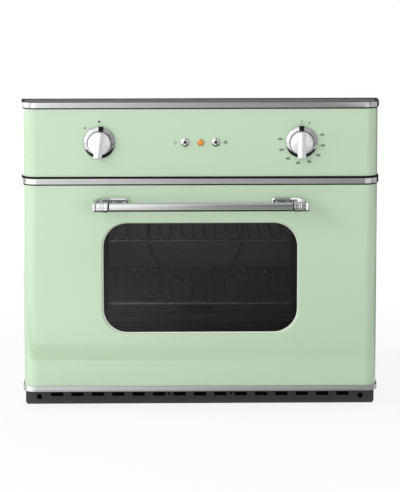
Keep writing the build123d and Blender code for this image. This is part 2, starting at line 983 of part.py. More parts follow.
# Control panel, tray and trims above the door
knob_spots = [(-knob_x, control_z), (knob_x, control_z)]
toggle_spots = [(-toggle_x, control_z), (toggle_x, control_z)]
with BuildPart() as control_panel:
    with BuildSketch(Plane.XY.offset(panel_bottom)):
        add(wrap_band(front_half_width, front_face, frame_front, corner_radius, front_sheet))
    extrude(amount=panel_height)
    for z in (panel_bottom, panel_top - front_sheet):
        with BuildSketch(Plane.XY.offset(z)):
            add(wrap_band(front_half_width, front_face, frame_front, corner_radius, front_flange))
        extrude(amount=front_sheet)
    with BuildSketch(facing(front_face + front_sheet)):
        with Locations(*knob_spots):
            Circle(bushing_radius + bushing_hole_gap)
        with Locations(*toggle_spots):
            Circle(toggle_bushing_radius + panel_fit)
        with Locations((0, control_z)):
            Circle(lens_radius + panel_fit)
    extrude(amount=2 * front_sheet, mode=Mode.SUBTRACT)
keep(control_panel, "control_panel")

tray_half_width = frame_half_width - tray_side
tray_back = tray_front + tray_sheet
with BuildPart() as control_tray:
    tray_low = panel_bottom + tray_margin
    tray_high = panel_top - tray_margin
    block(
        (-tray_half_width, tray_half_width),
        (tray_front, frame_front),
        (tray_low, tray_high),
    )
    block(
        (-tray_half_width, tray_half_width),
        (tray_back, frame_front),
        (tray_low + tray_sheet, tray_high - tray_sheet),
        mode=Mode.SUBTRACT,
    )
    with BuildSketch(facing(tray_back)):
        with Locations(*knob_spots):
            Circle(bushing_radius + panel_fit)
        with Locations((0, control_z)):
            Rectangle(*tray_window)
    extrude(amount=2 * tray_sheet, mode=Mode.SUBTRACT)
keep(control_tray, "control_tray")

with BuildPart() as top_trim:
    with BuildSketch(Plane.XY.offset(panel_top)):
        add(wrap_band(trim_half_width, trim_face, 0, trim_radius, trim_sheet))
    extrude(amount=top_trim_height)
    for z in (panel_top, oven_top - trim_sheet):
        with BuildSketch(Plane.XY.offset(z)):
            add(wrap_band(trim_half_width, trim_face, 0, trim_radius, trim_lip))
        extrude(amount=trim_sheet)
    soften_front(top_trim)
keep(top_trim, "top_trim")

with BuildPart() as top_plate:
    plate_top = oven_top - trim_sheet
    with BuildSketch(Plane.XY.offset(plate_top)):
        add(
            wrap_face(
                trim_half_width - trim_sheet,
                trim_face + trim_sheet,
                0,
                trim_radius - trim_sheet,
            )
        )
    extrude(amount=-trim_sheet)
    block(
        (-frame_half_width + front_flange, frame_half_width - front_flange),
        (-trim_sheet, 0),
        (panel_top, plate_top),
    )
keep(top_plate, "top_plate")

# Thermostat behind the left knob, function selector behind the right one
bushing_front = tray_front - bushing_length
shaft_bore = shaft_radius + running_clearance
with BuildPart() as thermostat:
    x, z = knob_spots[0]
    width, depth, height = control_body
    block(
        (x - width / 2, x + width / 2),
        (tray_back, tray_back + depth),
        (z - height / 2, z + height / 2),
    )
    rod((x, bushing_front, z), (x, tray_back, z), bushing_radius)
    rod(
        (x, bushing_front, z),
        (x, tray_back + shaft_tail, z),
        shaft_bore,
        mode=Mode.SUBTRACT,
    )
keep(thermostat, "thermostat")

with BuildPart() as function_selector:
    x, z = knob_spots[1]
    stack_end = tray_back + (wafer_count - 1) * wafer_pitch + wafer_sheet
    rod((x, bushing_front, z), (x, tray_back, z), bushing_radius)
    for i in range(wafer_count):
        wafer = tray_back + i * wafer_pitch
        with BuildSketch(facing(wafer + wafer_sheet)):
            with Locations((x, z)):
                Rectangle(*wafer_size)
        extrude(amount=wafer_sheet)
    post_spacing = wafer_size[0] - 2 * wafer_post_inset
    with BuildSketch(facing(stack_end)):
        with Locations((x, z)):
            with GridLocations(post_spacing, 0, 2, 1):
                Rectangle(wafer_post, wafer_post)
    extrude(amount=stack_end - tray_back)
    rod((x, bushing_front, z), (x, stack_end, z), shaft_bore, mode=Mode.SUBTRACT)
keep(function_selector, "function_selector")

shaft_front = front_face - knob_dial_top
for name, (x, z) in zip(("thermostat_shaft", "selector_shaft"), knob_spots):
    with BuildPart() as shaft:
        rod((x, shaft_front, z), (x, tray_back + shaft_tail, z), shaft_radius)
        block(
            (x - shaft_radius, x + shaft_radius),
            (shaft_front, front_face),
            (z + shaft_flat, z + shaft_radius),
            mode=Mode.SUBTRACT,
        )
    keep(shaft, name)

# Knobs: a turned skirt and dial with a wedge grip across them
knob_base = front_face - knob_clearance
skirt_rim = knob_base - knob_skirt_edge
skirt_top = front_face - knob_skirt_top
dial_top = front_face - knob_dial_top
skirt_width = knob_skirt_radius - knob_dial_radius
for name, (x, z), turn in (
    ("knob_left", knob_spots[0], knob_left_turn),
    ("knob_right", knob_spots[1], 0.0),
):
    with BuildPart() as knob:
        turned(
            x,
            z,
            [
                (0, knob_base),
                (knob_skirt_radius, knob_base),
                (knob_skirt_radius, skirt_rim),
                (knob_skirt_radius - skirt_width / 4, (skirt_rim + skirt_top) / 2),
                (knob_dial_radius, skirt_top),
                (knob_dial_radius, dial_top + knob_dial_bevel),
                (knob_dial_radius - knob_dial_bevel, dial_top),
                (0, dial_top),
            ],
        )
        grip_back = skirt_top + knob_skirt_edge
        top_width, foot_width = knob_grip_widths
        top_reach, foot_reach = knob_grip_reach
        with BuildSketch(knob_facing(x, grip_back, z, turn)) as grip:
            add(
                outline(
                    [
                        (-top_width / 2, top_reach),
                        (top_width / 2, top_reach),
                        (foot_width / 2, -foot_reach),
                        (-foot_width / 2, -foot_reach),
                    ]
                )
            )
            chamfer(grip.vertices(), knob_grip_corner)
        extrude(
            amount=grip_back - front_face + knob_grip_top,
            taper=knob_grip_taper,
        )
        index_width, index_length, index_floor = knob_index
        with BuildSketch(knob_facing(x, knob_base - index_floor, z, turn)):
            with Locations((0, knob_dial_radius + index_length / 2)):
                Rectangle(index_width, index_length)
        extrude(amount=knob_skirt_top, mode=Mode.SUBTRACT)
        rod((x, knob_base, z), (x, shaft_front, z), shaft_bore, mode=Mode.SUBTRACT)
    keep(knob, name)

# Toggle switches with their levers and bezels
pivot_depth = front_face + toggle_pivot_depth
panel_back = front_face + front_sheet
bushing_tip = front_face - toggle_bushing_length
with BuildPart() as toggle_switches:
    width, depth, height = toggle_body
    for x, z in toggle_spots:
        block(
            (x - width / 2, x + width / 2),
            (panel_back, panel_back + depth),
            (z - height / 2, z + height / 2),
        )
        rod((x, bushing_tip, z), (x, panel_back, z), toggle_bushing_radius)
        rod(
            (x, bushing_tip, z),
            (x, panel_back + toggle_bushing_bore, z),
            toggle_bushing_bore,
            mode=Mode.SUBTRACT,
        )
keep(toggle_switches, "toggle_switches")

bezel_face = front_face - bezel_height
with BuildPart() as switch_bezels:
    bezel_bore = toggle_bushing_radius + panel_fit / 2
    for x, z in toggle_spots:
        turned(
            x,
            z,
            [
                (bezel_bore, front_face),
                (bezel_radius, front_face),
                (bezel_radius, front_face - bezel_rim),
                (bezel_radius - bezel_slope, bezel_face),
                (bezel_bore, bezel_face),
            ],
        )
keep(switch_bezels, "switch_bezels")

for name, (x, z) in zip(("light_lever", "fan_lever"), toggle_spots):
    with BuildPart() as lever:
        ball = toggle_ball_radius
        tip = toggle_tip_radius
        with BuildSketch(lever_plane(x, pivot_depth, z, toggle_rest_angle)) as profile:
            add(
                outline(
                    [
                        (0, -ball),
                        (ball * sin(radians(45)), -ball * cos(radians(45))),
                        (ball, 0),
                        (ball * sin(radians(45)), ball * cos(radians(45))),
                        (toggle_stick_radius, ball),
                        (tip, toggle_length - tip),
                        (tip / 2, toggle_length),
                        (0, toggle_length),
                    ]
                )
            )
        dip = radians(toggle_rest_angle)
        revolve(axis=Axis((x, pivot_depth, z), (0, -cos(dip), -sin(dip))))
    keep(lever, name)

# Pilot lamp between the switches
pilot_back = front_face + pilot_length
pilot_bore = lens_radius - panel_fit - lens_wall
with BuildPart() as pilot_lamp:
    turned(
        0,
        control_z,
        [
            (lens_radius, front_face),
            (bezel_radius, front_face),
            (bezel_radius, front_face - bezel_rim),
            (bezel_radius - bezel_slope, bezel_face),
            (pilot_bore, bezel_face),
            (pilot_bore, pilot_back - lens_wall),
            (0, pilot_back - lens_wall),
            (0, pilot_back),
            (lens_radius, pilot_back),
        ],
    )
keep(pilot_lamp, "pilot_lamp")

with BuildPart() as pilot_lens:
    radius = pilot_bore - panel_fit / 2
    turned(
        0,
        control_z,
        [
            (0, bezel_face + lens_seat),
            (radius, bezel_face + lens_seat),
            (radius, bezel_face - lens_shoulder),
            (radius / 2, front_face - lens_rise),
            (0, front_face - lens_rise),
        ],
    )
keep(pilot_lens, "pilot_lens")

# Bottom grille
grille_hole_x = grille_half_width - grille_hole_inset
with BuildPart() as bottom_grille:
    with BuildSketch(facing(grille_face + grille_sheet)) as face:
        with Locations((0, grille_height / 2)):
            Rectangle(2 * grille_half_width, grille_height)
        chamfer(face.vertices().group_by(Axis.Y)[0], grille_corner)
        with Locations((0, grille_height - grille_slot_drop)):
            with GridLocations(grille_slot_pitch, 0, grille_slots, 1):
                Rectangle(*grille_slot, mode=Mode.SUBTRACT)
        for side in (-1, 1):
            with Locations((side * grille_hole_x, grille_height - grille_hole_drop)):
                Circle(grille_hole_radius, mode=Mode.SUBTRACT)
            with Locations((side * grille_screw_x, grille_screw_z)):
                Circle(grille_screw_radius + panel_fit, mode=Mode.SUBTRACT)
    extrude(amount=grille_sheet)
    block(
        (-grille_half_width, grille_half_width),
        (grille_face, grille_face + grille_flange),
        (grille_height - grille_sheet, grille_height),
    )
    for side in (-1, 1):
        block(
            sorted((side * (grille_half_width - grille_sheet), side * grille_half_width)),
            (grille_face, frame_front),
            (grille_corner, grille_height),
        )
keep(bottom_grille, "bottom_grille")

with BuildPart() as grille_screws:
    for side in (-1, 1):
        x = side * grille_screw_x
        head_front = grille_face - grille_screw_head_height
        shank_end = grille_face + grille_screw_length
        rod((x, head_front, grille_screw_z), (x, grille_face, grille_screw_z), grille_screw_head)
        shank = [(x, y, grille_screw_z) for y in (grille_face, shank_end)]
        wire(*shank, grille_screw_radius, cross_wire_sides)
keep(grille_screws, "grille_screws")

# Supply junction box at the back
with BuildPart() as junction_box:
    width, depth, height = junction_size
    box_front = back_inner - base_sheet - depth
    box_low = base_sheet
    block(
        (junction_x - width / 2, junction_x + width / 2),
        (box_front, back_inner),
        (box_low, box_low + height),
    )
    block(
        (junction_x - width / 2 + junction_sheet, junction_x + width / 2 - junction_sheet),
        (box_front + junction_sheet, back_inner - junction_sheet),
        (box_low + junction_sheet, box_low + height),
        mode=Mode.SUBTRACT,
    )
    rod(
        (junction_x, back_inner - junction_sheet, inlet_z),
        (junction_x, back_inner, inlet_z),
        inlet_radius,
        mode=Mode.SUBTRACT,
    )
    block(
        (junction_x - width, junction_x + width),
        (back_inner - base_sheet, back_inner),
        (0, base_wall),
        mode=Mode.SUBTRACT,
    )
keep(junction_box, "junction_box")

# Cooling fan: wheel along X in its scroll, with the motor at one end
scroll_half = wheel_length / 2 + scroll_end_gap
motor_start = scroll_half + scroll_sheet
wheel_end = motor_start + blower_shaft_end
with BuildPart() as cooling_wheel:
    for x in (-wheel_length / 2, -wheel_disc / 2, wheel_length / 2 - wheel_disc):
        rod((x, blower_y, blower_z), (x + wheel_disc, blower_y, blower_z), wheel_radius)
    with BuildSketch(side_on(-wheel_length / 2)):
        with Locations((blower_y, blower_z)):
            with PolarLocations(wheel_radius - wheel_blade[1] / 2, wheel_blades):
                Rectangle(wheel_blade[1], wheel_blade[0])
    extrude(amount=wheel_length)
    rod((-motor_start, blower_y, blower_z), (wheel_end, blower_y, blower_z), wheel_shaft_radius)
keep(cooling_wheel, "cooling_wheel")

wheel_bore = wheel_shaft_radius + running_clearance
with BuildPart() as cooling_scroll:
    shell = scroll_radius + scroll_sheet
    with BuildSketch(side_on(-scroll_half)):
        with Locations((blower_y, blower_z)):
            Circle(shell)
            Circle(scroll_radius, mode=Mode.SUBTRACT)
            Rectangle(
                2 * shell,
                scroll_radius,
                align=(Align.MAX, Align.MAX),
                mode=Mode.SUBTRACT,
            )
            Rectangle(
                scroll_radius,
                2 * shell,
                align=(Align.MIN, Align.MIN),
                mode=Mode.SUBTRACT,
            )
    extrude(amount=2 * scroll_half)
    for x in (-scroll_half - scroll_sheet, scroll_half):
        with BuildSketch(side_on(x)):
            with Locations((blower_y, blower_z)):
                Rectangle(2 * shell, plenum_height)
                Circle(wheel_bore, mode=Mode.SUBTRACT)
        extrude(amount=scroll_sheet)
keep(cooling_scroll, "cooling_scroll")

with BuildPart() as cooling_motor:
    length, width, height = blower_motor
    block(
        (motor_start, motor_start + blower_motor_plate),
        (blower_y - width / 2, blower_y + width / 2),
        (blower_z - height / 2, blower_z + height / 2),
    )
    rod(
        (motor_start, blower_y, blower_z),
        (motor_start + length, blower_y, blower_z),
        blower_motor_radius,
    )
    rod(
        (motor_start, blower_y, blower_z),
        (wheel_end, blower_y, blower_z),
        wheel_bore,
        mode=Mode.SUBTRACT,
    )
keep(cooling_motor, "cooling_motor")

# Door: painted skin with the window cut-out and its turned-in lip
skin_bottom = door_bottom + trim_sheet
skin_top = door_top - trim_sheet
slot_half = hinge_arm_sheet / 2 + hinge_side_gap
handle_spots = [(side * spot, handle_z) for side in (-1, 1) for spot in handle_screw_spots]
with BuildPart() as door_skin:
    with BuildSketch(Plane.XY.offset(skin_bottom)):
        add(wrap_band(front_half_width, front_face, liner_front, corner_radius, front_sheet))
    extrude(amount=skin_top - skin_bottom)
    for side in (-1, 1):
        block(
            sorted((side * (front_half_width - front_flange), side * front_half_width)),
            (liner_front - front_sheet, liner_front),
            (skin_bottom, skin_top),
        )
    with BuildSketch(facing(glass_front)):
        with Locations((0, window_middle)):
            RectangleRounded(
                2 * (window_half_width + front_sheet),
                window_height + 2 * front_sheet,
                window_radius + front_sheet,
            )
    extrude(amount=window_lip)
    with BuildSketch(facing(glass_front)):
        with Locations((0, window_middle)):
            RectangleRounded(2 * window_half_width, window_height, window_radius)
    extrude(amount=window_lip, mode=Mode.SUBTRACT)
    with BuildSketch(facing(front_face + front_sheet)):
        with Locations(*handle_spots):
            Circle(handle_screw_radius + panel_fit)
    extrude(amount=front_sheet, mode=Mode.SUBTRACT)
keep(door_skin, "door_skin")

for name, low, high, web in (
    ("door_top_trim", door_top - door_trim_height, door_top, skin_top),
    ("door_bottom_trim", door_bottom, door_bottom + bottom_trim_height, door_bottom),
):
    with BuildPart() as trim:
        with BuildSketch(Plane.XY.offset(low)):
            add(wrap_band(trim_half_width, trim_face, door_rear, trim_radius, trim_sheet))
        extrude(amount=high - low)
        for z in (low, high - trim_sheet):
            with BuildSketch(Plane.XY.offset(z)):
                add(wrap_band(trim_half_width, trim_face, door_rear, trim_radius, trim_proud))
            extrude(amount=trim_sheet)
        with BuildSketch(Plane.XY.offset(web)):
            add(wrap_face(trim_half_width, trim_face, door_rear, trim_radius))
        extrude(amount=trim_sheet)
        if web == door_bottom:
            for side in (-1, 1):
                x = side * hinge_x
                block(
                    (x - slot_half, x + slot_half),
                    (pivot_y - hinge_eye_radius - hinge_side_gap, door_rear),
                    (door_bottom, skin_bottom),
                    mode=Mode.SUBTRACT,
                )
        soften_front(trim)
    keep(trim, name)

# Window: outer pane, the frame that holds both panes, inner pane
with BuildPart() as outer_glass:
    block(
        (-window_half_width - glass_overlap, window_half_width + glass_overlap),
        (glass_front, pack_front),
        (window_bottom - glass_overlap, window_top + glass_overlap),
    )
keep(outer_glass, "outer_glass")

with BuildPart() as window_frame:
    duct_half = window_half_width + pack_margin
    duct_height = window_height + 2 * pack_margin
    with BuildSketch(facing(inner_glass_front)):
        with Locations((0, window_middle)):
            Rectangle(2 * duct_half, duct_height)
            Rectangle(
                2 * (duct_half - pack_sheet),
                duct_height - 2 * pack_sheet,
                mode=Mode.SUBTRACT,
            )
    extrude(amount=inner_glass_front - pack_front)
    for y, grow, shrink in (
        (pack_front + pack_sheet, pack_flange, pack_sheet),
        (inner_glass_front, 0, pack_flange),
    ):
        with BuildSketch(facing(y)):
            with Locations((0, window_middle)):
                Rectangle(2 * (duct_half + grow), duct_height + 2 * grow)
                Rectangle(
                    2 * (duct_half - shrink),
                    duct_height - 2 * shrink,
                    mode=Mode.SUBTRACT,
                )
        extrude(amount=pack_sheet)
keep(window_frame, "window_frame")

inner_pane_half = window_half_width - pack_sheet
inner_pane_height = window_height - 2 * pack_sheet
with BuildPart() as inner_glass:
    block(
        (-inner_pane_half, inner_pane_half),
        (inner_glass_front, inner_glass_back),
        (window_bottom + pack_sheet, window_top - pack_sheet),
    )
keep(inner_glass, "inner_glass")

# Enamelled liner with a raised plateau that enters the seal
plateau_half_width = cavity_half_width - plateau_inset
plateau_height = cavity_height - 2 * plateau_inset
with BuildPart() as door_liner:
    liner_half = front_half_width - front_sheet
    block(
        (-liner_half, liner_half),
        (liner_front, door_rear),
        (skin_bottom, skin_top),
    )
    for y, inset, mode in (
        (plateau_face, 0, Mode.ADD),
        (inner_glass_back, liner_sheet, Mode.SUBTRACT),
    ):
        with BuildSketch(facing(y)):
            with Locations((0, cavity_middle)):
                RectangleRounded(
                    2 * (plateau_half_width - inset),
                    plateau_height - 2 * inset,
                    cavity_radius,
                )
        extrude(amount=y - liner_front, mode=mode)
    with BuildSketch(facing(plateau_face)):
        with Locations((0, window_middle)):
            RectangleRounded(
                2 * (inner_pane_half - inner_window_inset),
                inner_pane_height - 2 * inner_window_inset,
                cavity_radius,
            )
    extrude(amount=liner_sheet, mode=Mode.SUBTRACT)
    for side in (-1, 1):
        x = side * hinge_x
        block(
            (x - slot_half, x + slot_half),
            (liner_front, door_rear),
            (skin_bottom, pivot_z + hinge_eye_radius + hinge_side_gap),
            mode=Mode.SUBTRACT,
        )
keep(door_liner, "door_liner")

# Glass-wool blanket round the window frame
cassette_top = skin_bottom + cassette_height
with BuildPart() as door_insulation:
    wool_front = pack_front + pack_sheet + door_wool_gap
    wool_rear = liner_front - front_sheet
    wool_side = front_half_width - front_flange - door_wool_gap
    wool_low = skin_bottom + door_wool_margin
    block((-wool_side, wool_side), (wool_front, wool_rear), (wool_low, skin_top - door_wool_margin))
    hole_half = duct_half + insulation_gap
    hole_low = window_bottom - pack_margin - insulation_gap
    hole_high = window_top + pack_margin + insulation_gap
    block(
        (-hole_half, hole_half),
        (wool_front, wool_rear),
        (hole_low, hole_high),
        mode=Mode.SUBTRACT,
    )
    for side in (-1, 1):
        x = side * hinge_x
        half = cassette_half_width + insulation_gap
        block(
            (x - half, x + half),
            (wool_front, wool_rear),
            (wool_low, cassette_top + insulation_gap),
            mode=Mode.SUBTRACT,
        )
keep(door_insulation, "door_insulation")

# Hinge cassettes, pins and springs inside the door
with BuildPart() as hinge_cassettes:
    for side in (-1, 1):
        x = side * hinge_x
        half = cassette_half_width
        block((x - half, x + half), (cassette_front, liner_front), (skin_bottom, cassette_top))
        block(
            (x - half + cassette_sheet, x + half - cassette_sheet),
            (cassette_front + cassette_sheet, liner_front),
            (skin_bottom, cassette_top - cassette_sheet),
            mode=Mode.SUBTRACT,
        )
        rod(
            (x - half, pivot_y, pivot_z),
            (x + half, pivot_y, pivot_z),
            hinge_pin_radius,
            mode=Mode.SUBTRACT,
        )
keep(hinge_cassettes, "hinge_cassettes")

with BuildPart() as hinge_pins:
    for side in (-1, 1):
        x = side * hinge_x
        rod(
            (x - cassette_half_width, pivot_y, pivot_z),
            (x + cassette_half_width, pivot_y, pivot_z),
            hinge_pin_radius,
        )
keep(hinge_pins, "hinge_pins")

with BuildPart() as door_springs:
    hook = cassette_top - cassette_sheet
    for side in (-1, 1):
        x = side * hinge_x
        rod((x, pivot_y, hook - spring_length), (x, pivot_y, hook), spring_radius)
        rod(
            (x, pivot_y, hook - spring_length),
            (x, pivot_y, hook),
            spring_bore,
            mode=Mode.SUBTRACT,
        )
keep(door_springs, "door_springs")

# Handle: a tube between two cast ends whose bands curve back to the door
bar_bore = handle_bar_radius - handle_bar_wall
with BuildPart() as handle_bar:
    ends = [(side * handle_bar_half_length, handle_y, handle_z) for side in (-1, 1)]
    rod(*ends, handle_bar_radius)
    rod(*ends, bar_bore, mode=Mode.SUBTRACT)
keep(handle_bar, "handle_bar")

band_x = handle_half_length - handle_band / 2
foot_y = front_face - handle_band / 2
foot_inner = handle_half_length - handle_foot
screw_seat = front_face - handle_band + handle_screw_seat
sleeve_start = handle_bar_half_length + handle_groove
sleeve_end = sleeve_start + sleeve_length
neck_end = handle_half_length - handle_band
with BuildPart() as handle_ends:
    for side in (-1, 1):
        with BuildLine() as band:
            FilletPolyline(
                (side * foot_inner, foot_y, handle_z),
                (side * band_x, foot_y, handle_z),
                (side * band_x, handle_y - handle_band_tip - handle_band / 2, handle_z),
                radius=handle_bend,
            )
        start = Plane(origin=band.line @ 0, x_dir=(0, 0, 1), z_dir=(side, 0, 0))
        with BuildSketch(start) as section:
            Rectangle(handle_band_height, handle_band)
            chamfer(section.vertices(), handle_band_edge)
        sweep(section.sketch, path=band.line)
        with BuildSketch(Plane.XY.offset(handle_z)) as sleeve:
            with Locations((0, handle_y)):
                add(
                    outline(
                        [
                            (side * (handle_bar_half_length - handle_spigot), 0),
                            (
                                side * (handle_bar_half_length - handle_spigot),
                                bar_bore - spigot_clearance,
                            ),
                            (side * sleeve_start, bar_bore - spigot_clearance),
                            (side * sleeve_start, sleeve_radius),
                            (side * sleeve_end, sleeve_radius),
                            (side * sleeve_end, neck_radius),
                            (side * (neck_end - neck_bevel[0]), neck_radius),
                            (side * neck_end, neck_radius - neck_bevel[1]),
                            (side * band_x, neck_radius - neck_bevel[1]),
                            (side * band_x, 0),
                        ]
                    )
                )
        revolve(sleeve.sketch, axis=Axis((0, handle_y, handle_z), (1, 0, 0)))
        for spot in handle_screw_spots:
            x = side * spot
            rod(
                (x, front_face, handle_z),
                (x, front_face - handle_band, handle_z),
                handle_screw_radius,
                mode=Mode.SUBTRACT,
            )
            rod(
                (x, screw_seat, handle_z),
                (x, front_face - handle_band, handle_z),
                handle_screw_head,
                mode=Mode.SUBTRACT,
            )
keep(handle_ends, "handle_ends")

with BuildPart() as handle_screws:
    for x, z in handle_spots:
        head_top = screw_seat - handle_screw_head_height
        shank_end = screw_seat + handle_screw_length
        rod((x, head_top, z), (x, screw_seat, z), handle_screw_head - screw_clearance)
        rod((x, screw_seat, z), (x, shank_end, z), handle_screw_radius - screw_clearance)
keep(handle_screws, "handle_screws")
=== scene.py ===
import json
from math import cos, pi, radians, sin

import bmesh
import bpy
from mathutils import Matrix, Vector


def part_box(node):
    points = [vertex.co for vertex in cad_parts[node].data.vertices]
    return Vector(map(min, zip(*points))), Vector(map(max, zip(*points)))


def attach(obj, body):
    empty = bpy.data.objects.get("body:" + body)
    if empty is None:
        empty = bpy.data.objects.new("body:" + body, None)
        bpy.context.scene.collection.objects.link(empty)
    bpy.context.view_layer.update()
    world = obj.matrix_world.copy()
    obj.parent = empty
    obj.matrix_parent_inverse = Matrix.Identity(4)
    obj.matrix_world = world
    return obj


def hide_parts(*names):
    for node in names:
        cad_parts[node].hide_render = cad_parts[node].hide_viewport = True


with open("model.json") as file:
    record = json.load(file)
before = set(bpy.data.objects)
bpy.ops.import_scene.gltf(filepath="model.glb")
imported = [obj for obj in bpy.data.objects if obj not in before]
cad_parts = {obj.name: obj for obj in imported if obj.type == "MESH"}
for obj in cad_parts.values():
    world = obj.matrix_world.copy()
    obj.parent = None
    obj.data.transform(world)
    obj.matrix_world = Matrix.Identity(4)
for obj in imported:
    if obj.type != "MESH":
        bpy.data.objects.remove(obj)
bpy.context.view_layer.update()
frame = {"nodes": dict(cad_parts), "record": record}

mm = 0.001


# Places read from the frame, all in metres
def low(node):
    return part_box(node)[0]


def high(node):
    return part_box(node)[1]


def middle(node):
    return (low(node) + high(node)) / 2


front = low("control_panel").y
knob_left_at = middle("thermostat_shaft")
knob_right_at = middle("selector_shaft")
control_z = middle("control_panel").z
bar_y = middle("handle_bar").y
bar_z = middle("handle_bar").z


# Shader maths: arithmetic on a Value adds the nodes that work it out
class Value:
    def __init__(self, finish, socket):
        self.finish = finish
        self.socket = socket

    def maths(self, operation, *others):
        inputs = dict(enumerate((self, *others)))
        return self.finish.node("ShaderNodeMath", {"operation": operation}, inputs)

    def __add__(self, other):
        return self.maths("ADD", other)

    def __sub__(self, other):
        return self.maths("SUBTRACT", other)

    def __rsub__(self, other):
        return self.maths("MULTIPLY", -1.0).maths("ADD", other)

    def __mul__(self, other):
        return self.maths("MULTIPLY", other)

    def __truediv__(self, other):
        return self.maths("DIVIDE", other)


class Shading:
    """The node tree of a material or of the world."""

    def __init__(self, holder):
        holder.use_nodes = True
        self.tree = holder.node_tree

    def link(self, value, socket):
        if isinstance(value, Value):
            self.tree.links.new(value.socket, socket)
        elif isinstance(value, tuple) and socket.type == "RGBA":
            socket.default_value = (*value, 1.0)
        else:
            socket.default_value = value

    def node(self, kind, settings=None, inputs=None, output=0):
        """Adds a node: its settings first, then the values or links of its sockets."""
        made = self.tree.nodes.new(kind)
        for name, value in (settings or {}).items():
            if name == "stops":
                while len(made.color_ramp.elements) < len(value):
                    made.color_ramp.elements.new(1.0)
                for element, (place, shade) in zip(made.color_ramp.elements, value):
                    element.position = place
                    element.color = (shade, shade, shade, 1.0)
            else:
                setattr(made, name, value)
        for name, value in (inputs or {}).items():
            self.link(value, made.inputs[name])
        return Value(self, made.outputs[output])

    def ray(self, kind):
        return self.node("ShaderNodeLightPath", output=f"Is {kind} Ray")

    def ramp(self, value, *stops):
        return self.node("ShaderNodeValToRGB", {"stops": stops}, {"Fac": value})

    def glow(self, colour, strength=1.0):
        return self.node("ShaderNodeEmission", {}, {"Color": colour, "Strength": strength})

    def mix(self, factor, first, second):
        return self.node("ShaderNodeMixShader", {}, {"Fac": factor, 1: first, 2: second})


class Finish(Shading):
    """One material: a Principled shader and the nodes that vary it."""

    def __init__(self, name, **settings):
        self.material = bpy.data.materials.new(name)
        super().__init__(self.material)
        self.shader = self.tree.nodes["Principled BSDF"]
        for socket, value in settings.items():
            self.set(socket.replace("_", " "), value)

    def set(self, socket, value):
        self.link(value, self.shader.inputs[socket])

    def surface(self, shader):
        self.link(shader, self.tree.nodes["Material Output"].inputs["Surface"])

    def place(self, scale=(1.0, 1.0, 1.0), turn=(0.0, 0.0, 0.0)):
        spot = self.node("ShaderNodeTexCoord", output="Object")
        return self.node(
            "ShaderNodeMapping", {}, {"Vector": spot, "Scale": scale, "Rotation": turn}
        )

    def noise(self, size, detail=2.0, rough=0.5, where=None):
        """Soft noise whose blotches are about size metres across."""
        inputs = {
            "Vector": where or self.place(),
            "Scale": 1.0 / size,
            "Detail": detail,
            "Roughness": rough,
        }
        return self.node("ShaderNodeTexNoise", {}, inputs)

    def blend(self, factor, first, second):
        """Colour between first and second."""
        both = {6: first, 7: second, "Factor": factor}
        return self.node("ShaderNodeMix", {"data_type": "RGBA"}, both, 2)

    def bump(self, height, depth):
        """Bump whose full height is depth metres."""
        inputs = {"Height": height, "Distance": depth, "Strength": 1.0}
        self.set("Normal", self.node("ShaderNodeBump", {}, inputs))


def srgb(red, green, blue):
    """Linear colour from 0 to 255 values."""

    def linear(part):
        part = part / 255
        return part / 12.92 if part <= 0.04045 else ((part + 0.055) / 1.055) ** 2.4

    return (linear(red), linear(green), linear(blue))


# Finishes
def gloss_paint():
    paint = Finish("gloss_paint", Roughness=0.30, Coat_Weight=0.7, Coat_Roughness=0.05)
    cloud = paint.noise(0.35, 2.0)
    paint.set("Base Color", paint.blend(cloud, srgb(182, 208, 177), srgb(188, 213, 183)))
    paint.bump(paint.noise(0.0022, 1.0), 0.000010)
    return paint.material


def bright_plate(name, shade, rough):
    plate = Finish(name, Metallic=1.0)
    haze = plate.noise(0.06, 3.0)
    light = tuple(part * shade for part in (0.99, 0.995, 1.0))
    dull = tuple(part * 0.94 for part in light)
    plate.set("Base Color", plate.blend(haze, dull, light))
    plate.set("Roughness", plate.noise(0.02, 4.0) * 0.04 + rough)
    return plate.material


def satin_dial():
    """Fine turned rings on a pale dial, which the grip crosses."""
    dial = Finish("satin_dial", Metallic=0.45)
    rings = dial.noise(0.0008, 3.0, where=dial.place((0.2, 1.0, 1.0)))
    dial.set("Base Color", dial.blend(rings, (0.66, 0.66, 0.68), (0.76, 0.76, 0.78)))
    dial.set("Roughness", rings * 0.08 + 0.18)
    dial.bump(rings, 0.000008)
    return dial.material


def brushed_steel(name, shade, rough, along=(0.03, 1.0, 1.0)):
    steel = Finish(name, Metallic=1.0)
    grain = steel.noise(0.0015, 3.0, where=steel.place(along))
    light = tuple(part * shade for part in (1.0, 1.0, 1.01))
    dull = tuple(part * 0.86 for part in light)
    steel.set("Base Color", steel.blend(grain, dull, light))
    steel.set("Roughness", grain * 0.14 + rough)
    steel.bump(grain, 0.00001)
    return steel.material


def galvanised_sheet():
    sheet = Finish("galvanised_sheet", Metallic=1.0)
    turned = sheet.place((1.0, 1.0, 1.0), (0.3, 0.2, 0.1))
    cells = sheet.node("ShaderNodeTexVoronoi", {}, {"Vector": turned, "Scale": 70.0}, "Color")
    spangle = sheet.node("ShaderNodeSeparateColor", {}, {"Color": cells})
    frost = sheet.noise(0.004, 4.0)
    mottle = spangle * 0.6 + frost * 0.4
    sheet.set("Base Color", sheet.blend(mottle, (0.54, 0.56, 0.57), (0.76, 0.78, 0.79)))
    sheet.set("Roughness", mottle * 0.22 + 0.34)
    sheet.bump(frost, 0.00003)
    return sheet.material


